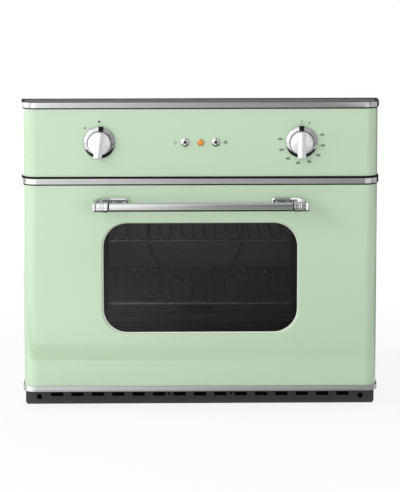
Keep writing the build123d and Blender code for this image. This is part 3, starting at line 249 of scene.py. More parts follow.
def speckled_enamel():
    enamel = Finish("speckled_enamel", Coat_Weight=0.6, Coat_Roughness=0.15, Roughness=0.4)
    inputs = {"Vector": enamel.place(), "Scale": 330.0}
    grain = enamel.node("ShaderNodeTexVoronoi", {}, inputs, "Distance")
    thin = enamel.noise(0.008, 2.0)
    fleck = enamel.ramp(grain + thin * 0.35, (0.30, 1.0), (0.38, 0.0))
    enamel.set("Base Color", enamel.blend(fleck, (0.070, 0.071, 0.073), (0.15, 0.155, 0.16)))
    enamel.bump(enamel.noise(0.006, 2.0), 0.00005)
    return enamel.material


def perforated_sheet():
    """Enamelled sheet with rows of small round holes."""
    sheet = Finish("perforated_sheet", Roughness=0.45)
    inputs = {"Vector": sheet.place(), "Scale": 280.0, "Randomness": 0.0}
    hole = sheet.node("ShaderNodeTexVoronoi", {}, inputs, "Distance")
    cloud = sheet.noise(0.01, 2.0)
    sheet.set("Base Color", sheet.blend(cloud, (0.085, 0.086, 0.088), (0.105, 0.106, 0.108)))
    sheet.set("Alpha", sheet.ramp(hole, (0.27, 0.0), (0.31, 1.0)))
    return sheet.material


def glass_wool():
    wool = Finish("glass_wool", Roughness=0.95, Sheen_Weight=0.3)
    fibre = wool.noise(0.0025, 6.0, 0.7, wool.place((0.35, 1.0, 1.0), (0.2, 0.4, 0.3)))
    mat = fibre * 0.6 + wool.noise(0.03, 3.0) * 0.4
    wool.set("Base Color", wool.blend(mat, (0.42, 0.36, 0.20), (0.80, 0.74, 0.52)))
    wool.bump(mat, 0.0018)
    return wool.material


def plated_wire():
    wire = Finish("plated_wire", Metallic=1.0)
    tarnish = wire.noise(0.05, 3.0)
    wire.set("Base Color", wire.blend(tarnish, (0.20, 0.195, 0.19), (0.34, 0.34, 0.34)))
    wire.set("Roughness", tarnish * 0.15 + 0.18)
    return wire.material


def heating_tube():
    tube = Finish("heating_tube", Metallic=0.6)
    heat = tube.noise(0.03, 3.0)
    tube.set("Base Color", tube.blend(heat, (0.035, 0.033, 0.034), (0.10, 0.085, 0.08)))
    tube.set("Roughness", heat * 0.2 + 0.42)
    tube.bump(tube.noise(0.0015, 3.0), 0.00005)
    return tube.material


def fired_ceramic():
    clay = Finish("fired_ceramic", Roughness=0.45, Coat_Weight=0.3)
    pore = clay.noise(0.003, 4.0)
    clay.set("Base Color", clay.blend(pore, (0.66, 0.62, 0.54), (0.80, 0.77, 0.70)))
    clay.bump(pore, 0.00008)
    return clay.material


def clear_glass():
    glass = Finish("clear_glass", Alpha=0.28, IOR=1.5)
    film = glass.noise(0.05, 3.0)
    glass.set("Base Color", glass.blend(film, (0.62, 0.68, 0.67), (0.75, 0.80, 0.79)))
    glass.set("Roughness", film * 0.05 + 0.03)
    return glass.material


def pane_glass(name, alpha, tint):
    glass = Finish(name, Alpha=alpha, IOR=1.5)
    film = glass.noise(0.12, 3.0)
    glass.set("Base Color", glass.blend(film, tint, tuple(part * 1.4 for part in tint)))
    glass.set("Roughness", film * 0.03 + 0.03)
    return glass.material


def woven_seal():
    seal = Finish("woven_seal", Roughness=0.9)
    spot = {"Vector": seal.place(), "Scale": 90.0}
    warp = seal.node("ShaderNodeTexWave", {"bands_direction": "X"}, spot)
    weft = seal.node("ShaderNodeTexWave", {"bands_direction": "Z"}, spot)
    weave = (warp + weft) * 0.5
    seal.set("Base Color", seal.blend(weave, (0.05, 0.05, 0.05), (0.16, 0.155, 0.15)))
    seal.bump(weave, 0.0006)
    return seal.material


def moulded_black():
    plastic = Finish("moulded_black", Specular_IOR_Level=0.1)
    grain = plastic.noise(0.0009, 3.0)
    plastic.set("Base Color", plastic.blend(grain, (0.004, 0.004, 0.004), (0.008, 0.008, 0.008)))
    plastic.set("Roughness", grain * 0.15 + 0.45)
    plastic.bump(grain, 0.00003)
    return plastic.material


# A pale colour that stands for the highlight along the window lip: painted highlight.
def pale_highlight_rubber():
    lip_glint = Finish("pale_highlight_rubber", Roughness=0.42)
    grain = lip_glint.noise(0.0012, 3.0)
    lip_glint.set("Base Color", lip_glint.blend(grain, srgb(226, 232, 218), srgb(238, 242, 230)))
    lip_glint.bump(grain, 0.00002)
    return lip_glint.material


def satin_black():
    coat = Finish("satin_black", Coat_Weight=0.15)
    grain = coat.noise(0.0016, 3.0)
    coat.set("Base Color", coat.blend(grain, (0.046, 0.047, 0.045), (0.066, 0.067, 0.064)))
    coat.set("Roughness", grain * 0.15 + 0.40)
    coat.bump(grain, 0.00003)
    return coat.material


def lit_amber():
    lens = Finish("lit_amber", Roughness=0.16, Emission_Strength=1.0, IOR=1.49)
    glow = lens.noise(0.004, 2.0)
    lens.set("Base Color", lens.blend(glow, (0.40, 0.13, 0.008), (0.52, 0.20, 0.012)))
    lens.set("Emission Color", lens.blend(glow, (0.26, 0.08, 0.002), (0.42, 0.15, 0.006)))
    return lens.material


def printed_ink():
    ink = Finish("printed_ink", Roughness=0.5)
    wear = ink.noise(0.002, 3.0)
    ink.set("Base Color", ink.blend(wear, srgb(28, 46, 32), srgb(40, 60, 44)))
    return ink.material


paint = gloss_paint()
chrome = bright_plate("bright_chrome", 0.58, 0.05)
cast_chrome = bright_plate("cast_chrome", 0.62, 0.13)
# The knob skirts take a darker copy of the chrome: painted shade.
shaded_skirt_chrome = bright_plate("shaded_skirt_chrome", 0.43, 0.12)
dial_metal = satin_dial()
top_steel = brushed_steel("satin_steel", 0.46, 0.24, (0.012, 1.0, 1.0))
galvanised = galvanised_sheet()
enamel = speckled_enamel()
guard_sheet = perforated_sheet()
wool = glass_wool()
wire = plated_wire()
element_skin = heating_tube()
plain_steel = brushed_steel("plain_steel", 0.55, 0.30)
ceramic = fired_ceramic()
clear = clear_glass()
smoked = pane_glass("smoked_glass", 0.24, (0.012, 0.012, 0.012))
plain_pane = pane_glass("plain_pane", 0.06, (0.01, 0.012, 0.011))
seal = woven_seal()
black_plastic = moulded_black()
grille_coat = satin_black()
lip_highlight_rubber = pale_highlight_rubber()
amber = lit_amber()
ink = printed_ink()

slot_finishes = {
    "paint": paint,
    "chrome": chrome,
    "galvanised": galvanised,
    "enamel": enamel,
    "wool": wool,
    "wire": wire,
    "element": element_skin,
    "steel": plain_steel,
    "ceramic": ceramic,
    "bulb_glass": clear,
    "dark_glass": smoked,
    "seal": seal,
    "black_plastic": black_plastic,
    "grille_black": grille_coat,
    "amber": amber,
}
for part in frame["record"]["subparts"]:
    node = frame["nodes"][part["node"]]
    node.data.materials.clear()
    node.data.materials.append(slot_finishes[part["material_slot"]])
# The base pan, galvanised in the real oven, takes the black grille coat so that the grille slots show dark:
# painted shade. The front frame is black enamel, and its black also stands in for shade behind the slots,
# partly painted shade.
own_finishes = {
    "top_plate": top_steel,
    "grille_screws": black_plastic,
    "base_pan": grille_coat,
    "inner_glass": plain_pane,
    "convection_fan": element_skin,
    "window_frame": black_plastic,
    "front_frame": black_plastic,
}
for name, finish in own_finishes.items():
    frame["nodes"][name].data.materials[0] = finish


# Hand tools
def take_all():
    bpy.ops.mesh.select_all(action="SELECT")


def go_to(mode):
    """Opens the active piece for editing with EDIT, or puts it down with OBJECT."""
    if not bpy.context.mode.startswith(mode):
        bpy.ops.object.mode_set(mode=mode)


def hold(piece):
    """Makes a piece the only one selected."""
    bpy.ops.object.select_all(action="DESELECT")
    piece.select_set(True)
    bpy.context.view_layer.objects.active = piece


def draw_out(*move):
    """Extrudes what is selected and moves it."""
    bpy.ops.mesh.extrude_region_move(TRANSFORM_OT_translate={"value": move})


def stretch(size, about):
    bpy.ops.transform.resize(value=size, center_override=about)


def start(kind, name, **place):
    """Adds a primitive with nothing else selected and opens it for editing."""
    bpy.ops.object.select_all(action="DESELECT")
    getattr(bpy.ops.mesh, f"primitive_{kind}_add")(**place)
    bpy.ops.object.transform_apply(location=True, rotation=True, scale=True)
    piece = bpy.context.object
    piece.name = name
    go_to("EDIT")
    return piece


def start_block(name, lowest, highest):
    """A block between two corners, open for editing."""
    centre = (Vector(lowest) + Vector(highest)) / 2
    size = Vector(highest) - Vector(lowest)
    piece = start("cube", name, size=1.0, location=centre)
    take_all()
    stretch(size, centre)
    return piece


def centre_of(item):
    if isinstance(item, bmesh.types.BMVert):
        return item.co
    return sum((v.co for v in item.verts), Vector()) / len(item.verts)


def direction_of(item):
    if isinstance(item, bmesh.types.BMEdge):
        return (item.verts[1].co - item.verts[0].co).normalized()
    return item.normal


def pick(kind, test):
    """Selects the verts, edges or faces whose (middle, direction) pass the test."""
    bpy.ops.mesh.select_mode(type={"verts": "VERT", "edges": "EDGE", "faces": "FACE"}[kind])
    bpy.ops.mesh.select_all(action="DESELECT")
    data = bpy.context.object.data
    shape = bmesh.from_edit_mesh(data)
    shape.normal_update()
    for item in getattr(shape, kind):
        if test(centre_of(item), direction_of(item)):
            item.select_set(True)
    shape.select_flush_mode()
    bmesh.update_edit_mesh(data)


def pick_rim(test):
    """Selects the open edges whose middle passes the test."""
    bpy.ops.mesh.select_mode(type="EDGE")
    bpy.ops.mesh.select_all(action="DESELECT")
    data = bpy.context.object.data
    shape = bmesh.from_edit_mesh(data)
    for edge in shape.edges:
        if edge.is_boundary and test(centre_of(edge)):
            edge.select_set(True)
    bmesh.update_edit_mesh(data)


touching = 0.02 * mm


def near(value, target):
    return abs(value - target) < touching


def round_edges(width, steps):
    bpy.ops.mesh.bevel(offset=width, segments=steps, affect="EDGES", clamp_overlap=True)


def rounded_outline(width, height, corner, centre):
    """Makes the selected unit plane an upright outline with round corners."""
    stretch((width, 1.0, height), centre)
    bpy.ops.mesh.bevel(offset=corner, segments=corner_steps, affect="VERTICES")


def drop(kind="FACE"):
    """Deletes what is selected; ONLY_FACE leaves the edges."""
    bpy.ops.mesh.delete(type=kind)


def modifier(piece, kind, **settings):
    """Adds a modifier and applies it."""
    go_to("OBJECT")
    bpy.context.view_layer.objects.active = piece
    made = piece.modifiers.new(kind.title(), kind)
    for name, value in settings.items():
        setattr(made, name, value)
    bpy.ops.object.modifier_apply(modifier=made.name)


def soften(piece, width, steps=2, angle=40.0):
    modifier(
        piece,
        "BEVEL",
        width=width,
        segments=steps,
        limit_method="ANGLE",
        angle_limit=radians(angle),
        harden_normals=False,
    )


def close(piece, finish, body, stands_for=(), smooth=35.0):
    """Ends a piece: smooth faces, its finish, its body and the nodes it stands for."""
    go_to("OBJECT")
    hold(piece)
    bpy.ops.object.shade_smooth_by_angle(angle=radians(smooth))
    modifier(piece, "WEIGHTED_NORMAL", keep_sharp=True)
    piece.data.materials.clear()
    piece.data.materials.append(finish)
    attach(piece, body)
    if stands_for:
        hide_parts(*stands_for)


def turn_out(piece):
    """Points all faces outwards once doubles are merged."""
    bpy.context.view_layer.objects.active = piece
    go_to("EDIT")
    bpy.ops.mesh.select_mode(type="VERT")
    take_all()
    bpy.ops.mesh.remove_doubles(threshold=0.01 * mm)
    bpy.ops.mesh.normals_make_consistent(inside=False)
    go_to("OBJECT")


def join(name, pieces):
    bpy.ops.object.select_all(action="DESELECT")
    for piece in pieces:
        piece.select_set(True)
    bpy.context.view_layer.objects.active = pieces[0]
    if len(pieces) > 1:
        bpy.ops.object.join()
    pieces[0].name = name
    return pieces[0]


def twin(piece, move=(0.0, 0.0, 0.0), mirror=False):
    """A copy with its own mesh, moved or mirrored left to right."""
    copy = piece.copy()
    copy.data = piece.data.copy()
    bpy.context.scene.collection.objects.link(copy)
    for vert in copy.data.vertices:
        if mirror:
            vert.co.x = -vert.co.x
        vert.co += Vector(move)
    if mirror:
        copy.data.flip_normals()
    return copy


def lathe(name, x, z, profile, steps=64):
    """Turned piece about an axis along Y: rings of (radius, y), drawn out one by one."""
    radius, y = profile[0]
    piece = start(
        "circle",
        name,
        vertices=steps,
        radius=radius,
        fill_type="NGON",
        location=(x, y, z),
        rotation=(pi / 2, 0.0, 0.0),
    )
    take_all()
    for next_radius, next_y in profile[1:]:
        draw_out(0, next_y - y, 0)
        share = next_radius / radius
        stretch((share, 1, share), (x, next_y, z))
        radius, y = next_radius, next_y
    turn_out(piece)
    return piece


# Front sheets and trims
sheet_thick = 1.2 * mm
front_corner = 28 * mm
corner_steps = 24
trim_corner = 31 * mm
trim_edge = 1.1 * mm
flange = 12 * mm
trim_lip = 3 * mm
shade_strip_lip = 5 * mm
full_plate = -1.0


def wrapped_sheet(name, lowest, highest, corner, sheet, lips=(0.0, 0.0), edge=0.4 * mm):
    """A front that turns back round both corners, with lips at its foot and head.

    A lip of 0 leaves that end open, and full_plate closes it.
    """
    piece = start_block(name, lowest, highest)
    pick("edges", lambda c, d: abs(d.z) > 0.9 and near(c.y, lowest[1]))
    round_edges(corner, corner_steps)
    pick("faces", lambda c, n: n.y > 0.9)
    drop()
    for level, lip in ((lowest[2], lips[0]), (highest[2], lips[1])):
        pick("faces", lambda c, n: abs(n.z) > 0.9 and near(c.z, level))
        if lip > 0.0:
            bpy.ops.mesh.inset(thickness=lip)
        if lip >= 0.0:
            drop()
    modifier(piece, "SOLIDIFY", thickness=sheet, offset=-1.0, use_even_offset=True)
    soften(piece, edge, 3)
    return piece


def make_bands():
    """Chrome bands over the panel and at both ends of the door."""
    rise = Vector((0.0, 0.0, 0.8 * mm))
    lowest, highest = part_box("top_trim")
    door_lowest, door_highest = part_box("door_top_trim")
    door_lowest, door_highest = door_lowest + 2.5 * rise, door_highest - 1.5 * rise
    foot_lowest, foot_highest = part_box("door_bottom_trim")
    for name, node, body, foot, head, lips in (
        ("top_band", "top_trim", "case", lowest + rise, highest, (10 * mm, 2.4 * mm)),
        ("door_top_band", "door_top_trim", "door", door_lowest, door_highest, (trim_lip, full_plate)),
        ("door_foot_band", "door_bottom_trim", "door", foot_lowest, foot_highest, (full_plate, trim_lip)),
    ):
        made = wrapped_sheet(name, foot, head, trim_corner, sheet_thick, lips, trim_edge)
        close(made, chrome, body, [node])


def make_shadow_strips():
    """Thin black strips that set the chrome bands off, and one in the gap above the door: painted shade where
    these gaps fall in shadow.
    """
    proud = 0.25 * mm
    half = high("control_panel").x + proud
    shade_strip_height = 2.9 * mm
    thin = 0.6 * mm
    # Black strips under the panel band and the door's top band: painted shadow lines.
    for name, top, body in (
        ("panel_top_shadow_strip", low("top_trim").z + 0.8 * mm, "case"),
        ("door_top_shadow_strip", low("door_top_trim").z + 2.0 * mm, "door"),
    ):
        foot, head = (-half, front - proud, top - shade_strip_height), (half, -20 * mm, top)
        made = wrapped_sheet(name, foot, head, front_corner, thin, edge=0.1 * mm)
        close(made, black_plastic, body)

    # A black strip on the top plate along the inside of the band: painted shade.
    inset = 2.3 * mm
    lowest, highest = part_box("top_trim")
    made = wrapped_sheet(
        "top_plate_shadow_strip",
        (lowest.x + inset, lowest.y + inset, high("top_plate").z),
        (highest.x - inset, highest.y, high("top_plate").z + 0.7 * mm),
        29 * mm,
        0.3 * mm,
        (0.0, shade_strip_lip),
        0.1 * mm,
    )
    close(made, black_plastic, "case")

    # A black strip in the gap between the door and the panel: painted shade in that gap.
    back = 0.15 * mm
    lowest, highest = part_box("door_top_trim")
    made = wrapped_sheet(
        "door_top_gap_shade",
        (lowest.x + back, lowest.y + back, highest.z - 2.0 * mm),
        (highest.x - back, lowest.y + 44 * mm, highest.z + 2.6 * mm),
        30.85 * mm,
        thin,
        (0.0, shade_strip_lip),
        0.3 * mm,
    )
    close(made, black_plastic, "door")


def make_control_panel():
    made = wrapped_sheet(
        "panel_sheet", *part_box("control_panel"), front_corner, sheet_thick, (flange, flange)
    )
    close(made, paint, "case", ["control_panel"])


window_side = 170 * mm
window_foot = 132.7 * mm
window_head = 97.7 * mm
window_half = -low("door_skin").x - window_side
window_low = high("bottom_grille").z + window_foot
window_high = high("door_top_trim").z - window_head
window_radius = 51 * mm
# The opening is widened for the pale bead, whose colour is a painted highlight.
highlight_bead_width = 2.2 * mm


def make_door_skin():
    lowest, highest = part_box("door_skin")
    piece = start_block("door_sheet", lowest, highest)
    pick("edges", lambda c, d: abs(d.z) > 0.9 and near(c.y, lowest.y))
    round_edges(front_corner, corner_steps)
    pick("faces", lambda c, n: n.y > 0.9 or abs(n.z) > 0.9)
    drop()
    pick("faces", lambda c, n: n.y < -0.9999)
    drop("ONLY_FACE")
    opening = (window_low - highlight_bead_width, window_high + 0.8 * mm)
    window_middle = (0.0, lowest.y, sum(opening) / 2)
    bpy.ops.mesh.primitive_plane_add(size=1.0, location=window_middle, rotation=(pi / 2, 0.0, 0.0))
    width = 2 * (window_half + highlight_bead_width)
    rounded_outline(width, opening[1] - opening[0], window_radius + highlight_bead_width, window_middle)
    drop("ONLY_FACE")
    straight = highest.x - front_corner
    pick("edges", lambda c, d: near(c.y, lowest.y) and abs(c.x) < straight + touching)
    bpy.ops.mesh.fill(use_beauty=True)
    turn_out(piece)
    go_to("EDIT")
    pick_rim(
        lambda c: near(c.y, lowest.y)
        and abs(c.x) < window_half + 2 * highlight_bead_width
        and window_low - 2 * highlight_bead_width < c.z < window_high + 2 * highlight_bead_width
    )
    bpy.ops.mesh.extrude_edges_move(TRANSFORM_OT_translate={"value": (0, 6 * mm, 0)})
    bpy.ops.mesh.select_all(action="DESELECT")
    bpy.ops.mesh.edges_select_sharp(sharpness=radians(60))
    round_edges(3.4 * mm, 7)
    turn_out(piece)
    modifier(piece, "SOLIDIFY", thickness=sheet_thick, offset=-1.0, use_even_offset=True)
    close(piece, paint, "door", ["door_skin"])


def make_window_highlight_bead():
    """A pale bead that seals the outer glass to the lip of the door sheet; its pale colour stands in for the
    highlight along the lip's edge, a painted highlight.
    """
    glass = low("outer_glass").y
    tall = 1.5 * mm
    outer = highlight_bead_width + 0.4 * mm
    half = window_half + outer
    centre = (0.0, glass, (window_low + window_high) / 2)
    highlight_bead = start("plane", "window_highlight_bead", size=1.0, location=centre, rotation=(pi / 2, 0.0, 0.0))
    take_all()
    rounded_outline(2 * half, window_high - window_low + 2 * outer, window_radius + outer, centre)
    bpy.ops.mesh.inset(thickness=outer)
    drop()
    take_all()
    draw_out(0.0, -tall, 0.0)
    turn_out(highlight_bead)
    soften(highlight_bead, 0.5 * mm, 3)
    close(highlight_bead, lip_highlight_rubber, "door")


# Handle
def make_handle_bar():
    reach = high("handle_bar").x
    bar = start(
        "cylinder",
        "handle_tube",
        vertices=96,
        radius=(high("handle_bar").z - low("handle_bar").z) / 2,
        depth=2 * reach,
        location=(0.0, bar_y, bar_z),
        rotation=(0.0, pi / 2, 0.0),
    )
    pick("faces", lambda c, n: abs(n.x) > 0.9)
    bpy.ops.mesh.inset(thickness=1.5 * mm)
    pick("edges", lambda c, d: near(abs(c.x), reach))
    round_edges(0.4 * mm, 2)
    close(bar, chrome, "door", ["handle_bar"])


def lay_along_x(piece, y):
    """Turns a lathe piece made round the Y axis to lie along X at depth y."""
    for vert in piece.data.vertices:
        along, across = vert.co.y, vert.co.x
        vert.co.x = along
        vert.co.y = y - across
    turn_out(piece)


screw_spots = (161 * mm, 184 * mm)
end_outer = high("handle_ends").x
end_band_thick = 8.5 * mm
end_reach = 78 * mm
groove_end = high("handle_bar").x + 2.8 * mm


def end_band():
    """The cast band that bends from the foot on the door to the bar."""
    outer, band = end_outer, end_band_thick
    face = high("handle_ends").y
    tip = low("handle_ends").y
    foot_end = outer - end_reach
    lowest = low("handle_ends").z + 2.5 * mm
    highest = high("handle_ends").z
    bend = 34.75 * mm
    bend_x = outer - band / 2 - bend
    end = start_block("end_band", (foot_end, face - band, lowest), (bend_x, face, highest))
    pick("faces", lambda c, n: n.x > 0.9)
    centre = (bend_x, face - band / 2 - bend, bar_z)
    bpy.ops.mesh.spin(steps=20, angle=pi / 2, center=centre, axis=(0.0, 0.0, 1.0))
    draw_out(0, tip - centre[1], 0)
    turn_out(end)
    go_to("EDIT")
    pick("edges", lambda c, d: near(c.x, foot_end) and abs(d.y) > 0.9)
    round_edges(7.0 * mm, 6)
    pick("edges", lambda c, d: near(c.y, tip) and abs(d.x) > 0.9)
    round_edges(5.5 * mm, 6)
    soften(end, 3.9 * mm, 7)
    for spot in screw_spots:
        hole = [(5 * mm, face - band - 2 * mm), (5 * mm, face - band + 2.5 * mm)]
        cutter = lathe("cutter", spot, bar_z, hole, 40)
        modifier(end, "BOOLEAN", operation="DIFFERENCE", object=cutter, solver="EXACT")
        bpy.data.objects.remove(cutter)
    return end


def end_sleeve():
    """The ringed sleeve that takes the bar into the band."""
    inner = end_outer - end_band_thick
    collar = (11.2 * mm, 10.3 * mm)
    rings = [
        (10.2 * mm, groove_end),
        (collar[0], groove_end + 0.8 * mm),
        (collar[0], groove_end + 8.2 * mm),
        (collar[1], groove_end + 8.8 * mm),
        (collar[1], groove_end + 9.6 * mm),
        (collar[0], groove_end + 10.2 * mm),
        (collar[0], groove_end + 13.0 * mm),
        (collar[1], groove_end + 13.6 * mm),
        (collar[1], groove_end + 14.2 * mm),
        (10.7 * mm, groove_end + 14.8 * mm),
        (10.7 * mm, inner - 1.0 * mm),
        (10.6 * mm, inner + 2.6 * mm),
        (10.0 * mm, inner + 4.8 * mm),
        (8.6 * mm, inner + 6.6 * mm),
    ]
    sleeve = lathe("end_sleeve", 0.0, bar_z, rings, 64)
    lay_along_x(sleeve, bar_y)
    soften(sleeve, 0.35 * mm, 2, 25.0)
    return sleeve


def make_handle_ends():
    right = join("handle_end_right", [end_band(), end_sleeve()])
    left = twin(right, mirror=True)
    left.name = "handle_end_left"
    close(right, cast_chrome, "door", ["handle_ends"])
    close(left, cast_chrome, "door")


def make_bar_spacers():
    """Black spacers between the bar and its sleeves."""
    spacer_rings = [
        (6.4 * mm, groove_end - 8.0 * mm),
        (6.4 * mm, groove_end - 2.9 * mm),
        (8.6 * mm, groove_end - 2.6 * mm),
        (8.6 * mm, groove_end - 0.1 * mm),
    ]
    spacer = lathe("bar_spacer_right", 0.0, bar_z, spacer_rings, 48)
    lay_along_x(spacer, bar_y)
    other = twin(spacer, mirror=True)
    other.name = "bar_spacer_left"
    close(spacer, black_plastic, "door")
    close(other, black_plastic, "door")


def make_handle_screws():
    """Countersunk screws with a round socket, seated in the feet."""
    seat = low("handle_screws").y
    rings = [
        (2.4 * mm, seat + 8 * mm),
        (2.4 * mm, seat + 2.1 * mm),
        (4.8 * mm, seat + 2.1 * mm),
        (4.8 * mm, seat + 0.5 * mm),
        (4.3 * mm, seat + 0.1 * mm),
        (2.6 * mm, seat + 0.1 * mm),
        (2.4 * mm, seat + 1.7 * mm),
    ]
    inner, outer = screw_spots
    first = lathe("handle_screw", inner, bar_z, rings, 36)
    screws = [first]
    for move in (outer - inner, -2 * inner, -inner - outer):
        screws.append(twin(first, (move, 0.0, 0.0)))
    made = join("handle_screw_set", screws)
    close(made, plain_steel, "door", ["handle_screws"])


# Knobs
left_knob_rest = 7.0
right_knob_rest = 0.0
grip_half = 8.6 * mm
index_half = 5.2 * mm


def turn_about(piece, angle, axis, centre):
    """Turns a whole piece by degrees about an axis through a point."""
    hold(piece)
    go_to("EDIT")
    take_all()
    bpy.ops.transform.rotate(value=-radians(angle), orient_axis=axis, center_override=centre)
    go_to("OBJECT")


def knob_skirt(node, x, z, base):
    skirt_rings = [
        (33.4 * mm, base),
        (34.0 * mm, base - 0.5 * mm),
        (34.0 * mm, base - 2.0 * mm),
        (33.6 * mm, base - 2.8 * mm),
        (32.9 * mm, base - 3.5 * mm),
        (29.2 * mm, base - 6.4 * mm),
        (26.6 * mm, base - 8.2 * mm),
        (25.6 * mm, base - 8.6 * mm),
        (24.9 * mm, base - 8.0 * mm),
    ]
    return lathe(node + "_skirt", x, z, skirt_rings, 128)


def knob_face(node, x, z, base, tip):
    """The pale dial and the wedge grip across it."""
    dial_rings = [
        (24.2 * mm, base - 7.0 * mm),
        (24.4 * mm, base - 17.2 * mm),
        (23.9 * mm, base - 18.7 * mm),
        (22.6 * mm, base - 19.6 * mm),
        (18.0 * mm, base - 20.4 * mm),
        (12.0 * mm, base - 21.05 * mm),
        (6.0 * mm, base - 21.45 * mm),
        (1.0 * mm, base - 21.6 * mm),
    ]
    dial = lathe(node + "_dial", x, z, dial_rings, 128)
    grip = start_block(
        node + "_grip",
        (x - grip_half, tip, z - 33.0 * mm),
        (x + grip_half, base - 21.0 * mm, z + 23.0 * mm),
    )
    pick("faces", lambda c, n: n.y > 0.9)
    draw_out(0.0, 15.0 * mm, 0.0)
    pick("verts", lambda c, n: near(c.y, tip))
    stretch((0.10, 1.0, 1.0), (x, tip, z))
    pick("verts", lambda c, n: near(c.y, tip) and c.z > z)
    bpy.ops.transform.translate(value=(0.0, 2.5 * mm, -1.0 * mm))
    pick("verts", lambda c, n: near(c.y, tip) and c.z < z)
    bpy.ops.transform.translate(value=(0.0, 0.0, 3.0 * mm))
    pick("edges", lambda c, d: c.y < base - 7.5 * mm and abs(d.y) < 0.95)
    round_edges(1.6 * mm, 5)
    go_to("OBJECT")
    return join(node + "_face", [dial, grip])


def knob_index(node, x, z, base):
    """The black index block, and a black ring in the groove round the dial: painted shade in the groove."""
    index = start_block(
        node + "_index",
        (x - index_half, base - 9.6 * mm, z + 26.4 * mm),
        (x + index_half, base - 1.0 * mm, z + 34.6 * mm),
    )
    go_to("OBJECT")
    soften(index, 0.5 * mm, 3)
    # Black ring lining the groove between skirt and dial: painted shade.
    groove_shade_rings = [
        (25.0 * mm, base - 4.0 * mm),
        (25.8 * mm, base - 8.4 * mm),
        (25.6 * mm, base - 8.9 * mm),
        (24.6 * mm, base - 9.0 * mm),
        (24.2 * mm, base - 6.0 * mm),
    ]
    groove_shade = lathe(node + "_groove", x, z, groove_shade_rings, 96)
    return join(node + "_index", [index, groove_shade])


def make_knob(node, at, angle, body):
    x, z = at.x, at.z
    base = high(node).y
    skirt = knob_skirt(node, x, z, base)
    face = knob_face(node, x, z, base, low(node).y)
    index = knob_index(node, x, z, base)
    for piece in (skirt, face, index):
        turn_about(piece, angle, "Y", (x, 0.0, z))
    close(skirt, shaded_skirt_chrome, body, [node])
    close(face, dial_metal, body)
    close(index, black_plastic, body)


def make_knobs():
    make_knob("knob_left", knob_left_at, left_knob_rest, "left_control")
    make_knob("knob_right", knob_right_at, right_knob_rest, "right_control")


# Marks printed on the panel round the knobs and beside the switches
mark_depth = 0.08 * mm


def print_flat(piece):
    """Gives a flat outline its ink thickness, standing on the panel."""
    go_to("EDIT")
    take_all()
    draw_out(0.0, -mark_depth, 0.0)
    turn_out(piece)
    return piece


def print_bar(x, z, width, height, angle=0.0):
    made = start("plane", "mark", size=1.0, location=(x, front, z), rotation=(pi / 2, 0.0, 0.0))
    take_all()
    centre = (x, front, z)
    stretch((width, 1.0, height), centre)
    bpy.ops.transform.rotate(value=-angle, orient_axis="Y", center_override=centre)
    return print_flat(made)


def print_ring(x, z, radius, wall, steps=24, angle=0.0):
    made = start(
        "circle",
        "mark",
        vertices=steps,
        radius=radius,
        fill_type="NGON",
        location=(x, front, z),
        rotation=(pi / 2, angle, 0.0),
    )
    if wall > 0.0:
        bpy.ops.mesh.inset(thickness=wall)
        drop()
    return print_flat(made)


def print_number(text, x, z, size):
    bpy.ops.object.select_all(action="DESELECT")
    bpy.ops.object.text_add(location=(x, front, z), rotation=(pi / 2, 0.0, 0.0))
    made = bpy.context.object
    made.data.body = text
    made.data.align_x = "CENTER"
    made.data.align_y = "CENTER"
    made.data.size = size
    made.data.offset = 0.28 * mm
    bpy.ops.object.convert(target="MESH")
    bpy.ops.object.transform_apply(location=True, rotation=True, scale=True)
    return print_flat(made)


def make_marks():
    ring = 44.3 * mm
    dot_ring = 43.5 * mm
    tick_ring = 39.0 * mm
    number_across, number_up = 46.0 * mm, 45.2 * mm
    x, z = knob_left_at.x, knob_left_at.z
    marks = [print_ring(x, z + ring, 4.0 * mm, 0.0, 3, pi)]
    dot = radians(-44.5)
    marks.append(print_ring(x + dot_ring * sin(dot), z + dot_ring * cos(dot), 1.9 * mm, 0.0))
    tick = (x + tick_ring * sin(dot), z + tick_ring * cos(dot))
    marks.append(print_bar(*tick, 0.8 * mm, 3.2 * mm, dot))
    x, z = knob_right_at.x, knob_right_at.z
    marks.append(print_ring(x, z + ring, 2.1 * mm, 0.6 * mm))
    second = 22.0
    turn = radians(second)
    marks.append(print_ring(x + ring * sin(turn), z + ring * cos(turn), 1.8 * mm, 0.0))
    steps = [(0.0, None), (second, None)]
    steps += [(70.0 + 29.7 * i, str(150 + 50 * i)) for i in range(8)]
    for angle, number in steps:
        way = radians(angle)
        across, up = sin(way), cos(way)
        if number:
            marks.append(print_number(number, x + number_across * across, z + number_up * up, 6.1 * mm))
        marks.append(print_bar(x + tick_ring * across, z + tick_ring * up, 0.7 * mm, 3.0 * mm, way))

    icon_x = 53.3 * mm
    marks.append(print_ring(-icon_x, control_z + 1.0 * mm, 3.2 * mm, 0.6 * mm, 32))
    marks.append(print_bar(-icon_x, control_z - 3.2 * mm, 2.8 * mm, 1.4 * mm))
    marks.append(print_bar(-icon_x, control_z - 4.7 * mm, 1.8 * mm, 0.7 * mm))
    marks.append(print_ring(icon_x, control_z, 0.9 * mm, 0.0, 16))
    marks.append(print_ring(icon_x, control_z, 4.2 * mm, 0.5 * mm, 32))
    blade = 2.2 * mm
    for i in range(4):
        way = radians(45 + 90 * i)
        marks.append(
            print_ring(icon_x + blade * sin(way), control_z + blade * cos(way), 1.1 * mm, 0.0, 12)
        )
    close(join("panel_marks", marks), ink, "case")


# Switches and pilot lamp
toggle_x = 32.5 * mm
lever_lean = 13.0


